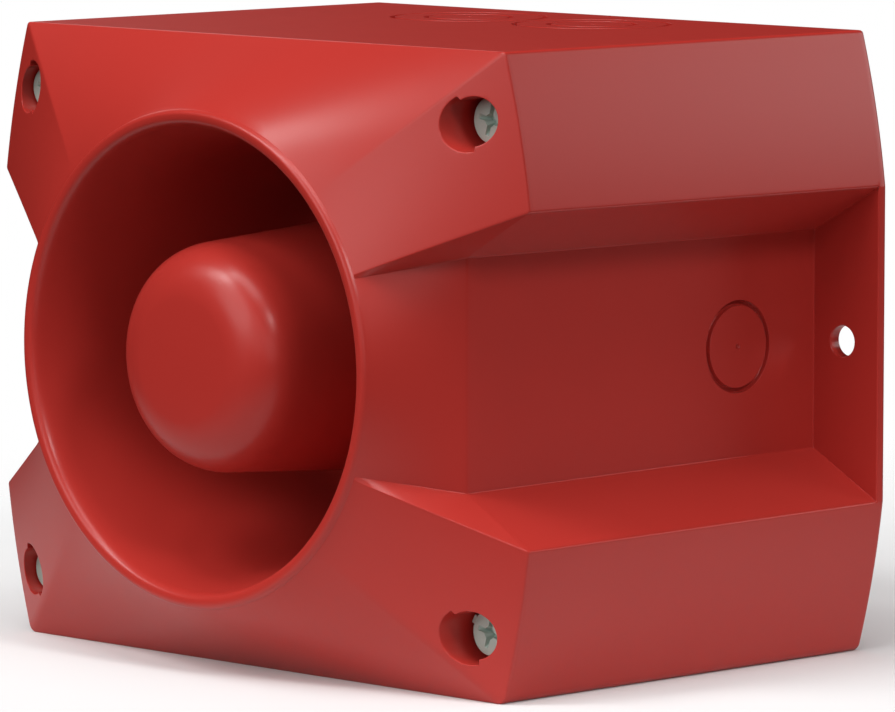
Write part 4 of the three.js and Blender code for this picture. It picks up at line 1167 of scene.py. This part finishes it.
def build_capacitor(node, radius, height, x, z):
    profile = [(0, 0), (radius - 0.5, 0), (radius - 0.1, 0.25), (radius, 0.7), (radius, 1.9)]
    profile += [(radius - 0.15, 2.2), (radius - 0.5, 2.5), (radius - 0.15, 2.8), (radius, 3.1)]
    profile.append((radius, height - 0.7))
    profile += arc((radius - 0.7, height - 0.7), 0.7, 0, 90, 6)
    profile += [(radius - 1.3, height), (radius - 1.4, height - 0.12), (0, height - 0.12)]
    sleeve = lathe(f"{node}_look", profile, 72, (x, BOARD_TOP, z))
    shade(sleeve, 35)
    dress(sleeve, "cover", "can_sleeve", node)
    lid_r = radius - 1.45
    lid = lathe(f"{node}_lid", [(0, -0.1), (lid_r, -0.1), (lid_r, -0.03), (radius - 1.6, 0), (0, 0)], 64)
    reach = radius - 2.2
    vents = ((reach, 0.12), (0.12, reach))
    cuts = [block("vent", *span(0, 0, half_x, half_z, -0.06, 1)) for half_x, half_z in vents]
    combine(lid, cuts, "DIFFERENCE")
    shift(lid, x, BOARD_TOP + height, z)
    shade(lid, 30)
    dress(lid, "cover", "steel")


def build_inductor():
    x, z, y = -18, -2, BOARD_TOP
    turns = []
    for k in range(12):
        low = 1.55 + k * 0.5
        turns += [(5.05, low), (5.35, low + 0.13), (5.4, low + 0.25), (5.35, low + 0.37)]
    turns += [(5.05, 7.5), (4.2, 7.5), (4.2, 1.5), (5.05, 1.5)]
    winding = lathe("inductor_look", turns + [turns[0]], 72, (x, y, z))
    shade(winding, 70)
    dress(winding, "cover", "copper", "inductor")
    core = [(0, 0), (6.3, 0), (6.5, 0.2), (6.5, 1.25), (6.3, 1.45), (4.15, 1.45), (4.15, 7.55), (6.3, 7.55)]
    core += [(6.5, 7.75), (6.5, 8.8), (6.3, 9), (1.2, 9), (1.1, 8.6), (0, 8.6)]
    drum = lathe("inductor_core", core, 72, (x, y, z))
    shade(drum, 35)
    dress(drum, "cover", "ferrite")


def build_chips():
    y = BOARD_TOP
    dot = cylinder("dot", 0.7, y + 2.35, y + 4, (-7.4, 0, -16.2), 32)
    chip = span(0, -18, 9, 3.7, y + 0.3, y + 2.5)
    plain_part("controller_chip", "black_plastic", chip, 0.25, cuts=[dot])
    legs = []
    for i in range(-3, 4):
        for side in (-1, 1):
            path = [(3.72, 1.3), (4.3, 1.3), (4.55, 0.1), (5.2, 0.1)]
            points = []
            for dz, h in path:
                for w in (-0.4, 0.4):
                    x, z = i * 2.4 + w, -18 + side * dz
                    points += [(x, y + h + 0.02, z), (x, y + h + 0.25, z)]
            faces = [(0, 1, 3, 2), (12, 14, 15, 13)]
            for k in range(3):
                b = 4 * k
                faces += [(b, b + 4, b + 5, b + 1), (b + 2, b + 3, b + 7, b + 6)]
                faces += [(b, b + 2, b + 6, b + 4), (b + 1, b + 5, b + 7, b + 3)]
            legs.append(mesh_object(f"leg_{i}_{side}", points, faces))
    made = join(legs[0], legs[1:])
    made.name = "controller_chip_legs"
    shade(made, 30)
    dress(made, "cover", "steel")
    step = block("step", (14, y - 1, -34.6), (26, y + 1.35, -33))
    case = span(20, -38, 5, 4.5, y + 0.05, y + 4.4)
    plain_part("power_transistor", "black_plastic", case, 0.4, cuts=[step])
    tab = block("power_transistor_tab", (15, y, -34.6), (25, y + 1.3, -27), 0.15, 2)
    combine(tab, [cylinder("hole", 1.8, y - 1, y + 3, (20, 0, -30), 40)], "DIFFERENCE")
    shade(tab, 30)
    dress(tab, "cover", "steel")


def build_lead(node, angle, slot):
    """An insulated wire from the main board to the driver."""
    path = []
    bends = ((20.5, -53.2, 0), (20.5, -50, 0), (22.2, -43, 3), (21, -36, 0), (21, BOARD_FRONT - 0.15, 0))
    for radius, y, turn in bends:
        t = math.radians(angle + turn)
        path.append((radius * math.cos(t), y, radius * math.sin(t)))
    path = through(path, 10)
    radius, sides = 0.78, 20
    rings = []
    for i, point in enumerate(path):
        before, after = Vector(path[max(0, i - 1)]), Vector(path[min(len(path) - 1, i + 1)])
        along = (after - before).normalized()
        across = along.cross(Vector((0, 0, 1))).normalized()
        upward = along.cross(across)
        ring = []
        for j in range(sides):
            t = 2 * math.pi * j / sides
            ring.append(Vector(point) + radius * (math.cos(t) * across + math.sin(t) * upward))
        rings.append(ring)
    made = loft(f"{node}_look", rings)
    shade(made, 40)
    return dress(made, "cover", slot, node)


# ------------------------------------------------------------------ assembly

build_front_cover()
build_housing()
build_bullet()
for i, (x, z, _) in enumerate(corner_spots()):
    build_cover_screw(i, x, z)
build_fasteners()
build_receptacles()
build_cover_gasket()
build_driver()
build_boards()
build_contacts()
build_terminals()
build_dip_switch()
build_trimmer()
build_capacitor("capacitor_large", 6.3, 16, 20, 2)
build_capacitor("capacitor_small", 4, 11, 20, -12)
build_inductor()
build_chips()
build_lead("driver_lead_red", 20, "red_wire")
build_lead("driver_lead_black", 40, "black_plastic")

# Parts that keep their CAD shape get the same finishes.
SLOT_OF_NODE = {part["node"]: part["material_slot"] for part in frame["record"]["subparts"]}
for name, node in frame["nodes"].items():
    if not node.hide_render:
        slot = SLOT_OF_NODE[name]
        node.data.materials.clear()
        node.data.materials.append(MATERIALS[slot])

# ------------------------------------------------------------------ stage, light and camera


FLOOR_RADIUS = 500
FLOOR_FADE = (0.09, 0.38)


def floor_paint():
    """Matt white near the part that dissolves into the white surroundings further out."""
    paint, tree, shader = nodes_of("floor_white")
    place = tree.nodes.new("ShaderNodeTexCoord").outputs["Object"]
    tone = spread(tree, noise(tree, 3, 2, place), 0.81, 0.83)
    colour = tree.nodes.new("ShaderNodeCombineColor")
    for channel in ("Red", "Green", "Blue"):
        tree.links.new(tone, colour.inputs[channel])
    tree.links.new(colour.outputs["Color"], shader.inputs["Base Color"])
    shader.inputs["Roughness"].default_value = 0.9
    shader.inputs["Specular IOR Level"].default_value = 0.0
    reach = tree.nodes.new("ShaderNodeVectorMath")
    reach.operation = "LENGTH"
    tree.links.new(place, reach.inputs[0])
    fade = tree.nodes.new("ShaderNodeMapRange")
    fade.interpolation_type = "SMOOTHSTEP"
    fade.inputs["From Min"].default_value, fade.inputs["From Max"].default_value = FLOOR_FADE
    tree.links.new(reach.outputs["Value"], fade.inputs["Value"])
    clear = tree.nodes.new("ShaderNodeBsdfTransparent")
    mix = tree.nodes.new("ShaderNodeMixShader")
    tree.links.new(fade.outputs["Result"], mix.inputs["Fac"])
    tree.links.new(shader.outputs["BSDF"], mix.inputs[1])
    tree.links.new(clear.outputs["BSDF"], mix.inputs[2])
    tree.links.new(mix.outputs["Shader"], tree.nodes["Material Output"].inputs["Surface"])
    return paint


def build_stage():
    """A pale floor disc under the part."""
    count = 96
    points = [(0, 0, -HALF_HEIGHT)]
    for j in range(count):
        turn = 2 * math.pi * j / count
        points.append((FLOOR_RADIUS * math.cos(turn), FLOOR_RADIUS * math.sin(turn), -HALF_HEIGHT))
    faces = [(0, 1 + j, 1 + (j + 1) % count) for j in range(count)]
    made = mesh_object("floor", points, faces)
    made.data.materials.append(floor_paint())
    return made


def direction(azimuth, elevation):
    """The unit vector towards an azimuth (0 is straight in front, 90 is +X) and an elevation."""
    a, e = math.radians(azimuth), math.radians(elevation)
    return Vector((math.sin(a) * math.cos(e), -math.cos(a) * math.cos(e), math.sin(e)))


def area_light(name, azimuth, elevation, size, power):
    data = bpy.data.lights.new(name, "AREA")
    data.shape = "DISK"
    data.size = size
    data.energy = power
    made = bpy.data.objects.new(name, data)
    bpy.context.scene.collection.objects.link(made)
    back = direction(azimuth, elevation)
    made.location = LIGHT_TARGET + back * LIGHT_DISTANCE
    made.rotation_mode = "QUATERNION"
    made.rotation_quaternion = (-back).to_track_quat("-Z", "Y")
    made.visible_camera = False
    return made


LIGHT_TARGET = Vector((0, -0.06, 0))
LIGHT_DISTANCE = 3.0
# Azimuth, elevation, diameter in metres, power in watts
LIGHTS = {
    "key_left": (328, 48, 0.8, 10.8),
    "key_middle": (340, 56, 0.6, 17.5),
    "key_high": (350, 70, 0.5, 10.0),
    "left_front": (318, 40, 1.2, 3.4),
    "side_right": (78, 38, 0.6, 20.0),
    "front": (0, 33, 2.3, 30.0),
    "front_right": (30, 22, 2.0, 8.0),
    "top_right": (60, 70, 1.6, 26.6),
    "top": (0, 90, 1.6, 14.6),
    "rear_right": (150, 14, 1.3, 17.5),
    "low_right": (60, 12, 1.3, 4.0),
    "low_front": (0, 14, 1.6, 2.9),
    "fill_left": (240, 25, 1.3, 3.3),
}


def build_world():
    """White to the camera, and almost dark to the part, so that the soft lights shape it."""
    world = bpy.data.worlds.new("surroundings")
    world.use_nodes = True
    tree = world.node_tree
    seen = tree.nodes["Background"]
    seen.inputs["Color"].default_value = (1, 1, 1, 1)
    felt = tree.nodes.new("ShaderNodeBackground")
    felt.inputs["Color"].default_value = (1, 1, 1, 1)
    felt.inputs["Strength"].default_value = 0.0
    mix = tree.nodes.new("ShaderNodeMixShader")
    path = tree.nodes.new("ShaderNodeLightPath")
    tree.links.new(path.outputs["Is Camera Ray"], mix.inputs["Fac"])
    tree.links.new(felt.outputs["Background"], mix.inputs[1])
    tree.links.new(seen.outputs["Background"], mix.inputs[2])
    tree.links.new(mix.outputs["Shader"], tree.nodes["World Output"].inputs["Surface"])
    bpy.context.scene.world = world


build_stage()
for name, settings in LIGHTS.items():
    area_light(name, *settings)
build_world()
bpy.context.scene.view_settings.view_transform = "Standard"

CAMERA = {
    "azimuth": 44.964,
    "elevation": 6.122,
    "roll": 0.0635,
    "spot": (1.10723, -1.16330, 0.16298),
    "lens": 279.51,
}


def build_camera():
    data = bpy.data.cameras.new("camera")
    data.lens = CAMERA["lens"]
    data.sensor_width = 36
    data.clip_start = 0.05
    data.clip_end = 50
    made = bpy.data.objects.new("camera", data)
    bpy.context.scene.collection.objects.link(made)
    back = direction(CAMERA["azimuth"], CAMERA["elevation"])
    r = math.radians(CAMERA["roll"])
    right = Vector((0, 0, 1)).cross(back).normalized()
    up = back.cross(right)
    rolled = math.cos(r) * right + math.sin(r) * up
    upright = back.cross(rolled)
    turned = Matrix((rolled, upright, back)).transposed().to_4x4()
    made.matrix_world = Matrix.Translation(Vector(CAMERA["spot"])) @ turned
    bpy.context.scene.camera = made


build_camera()
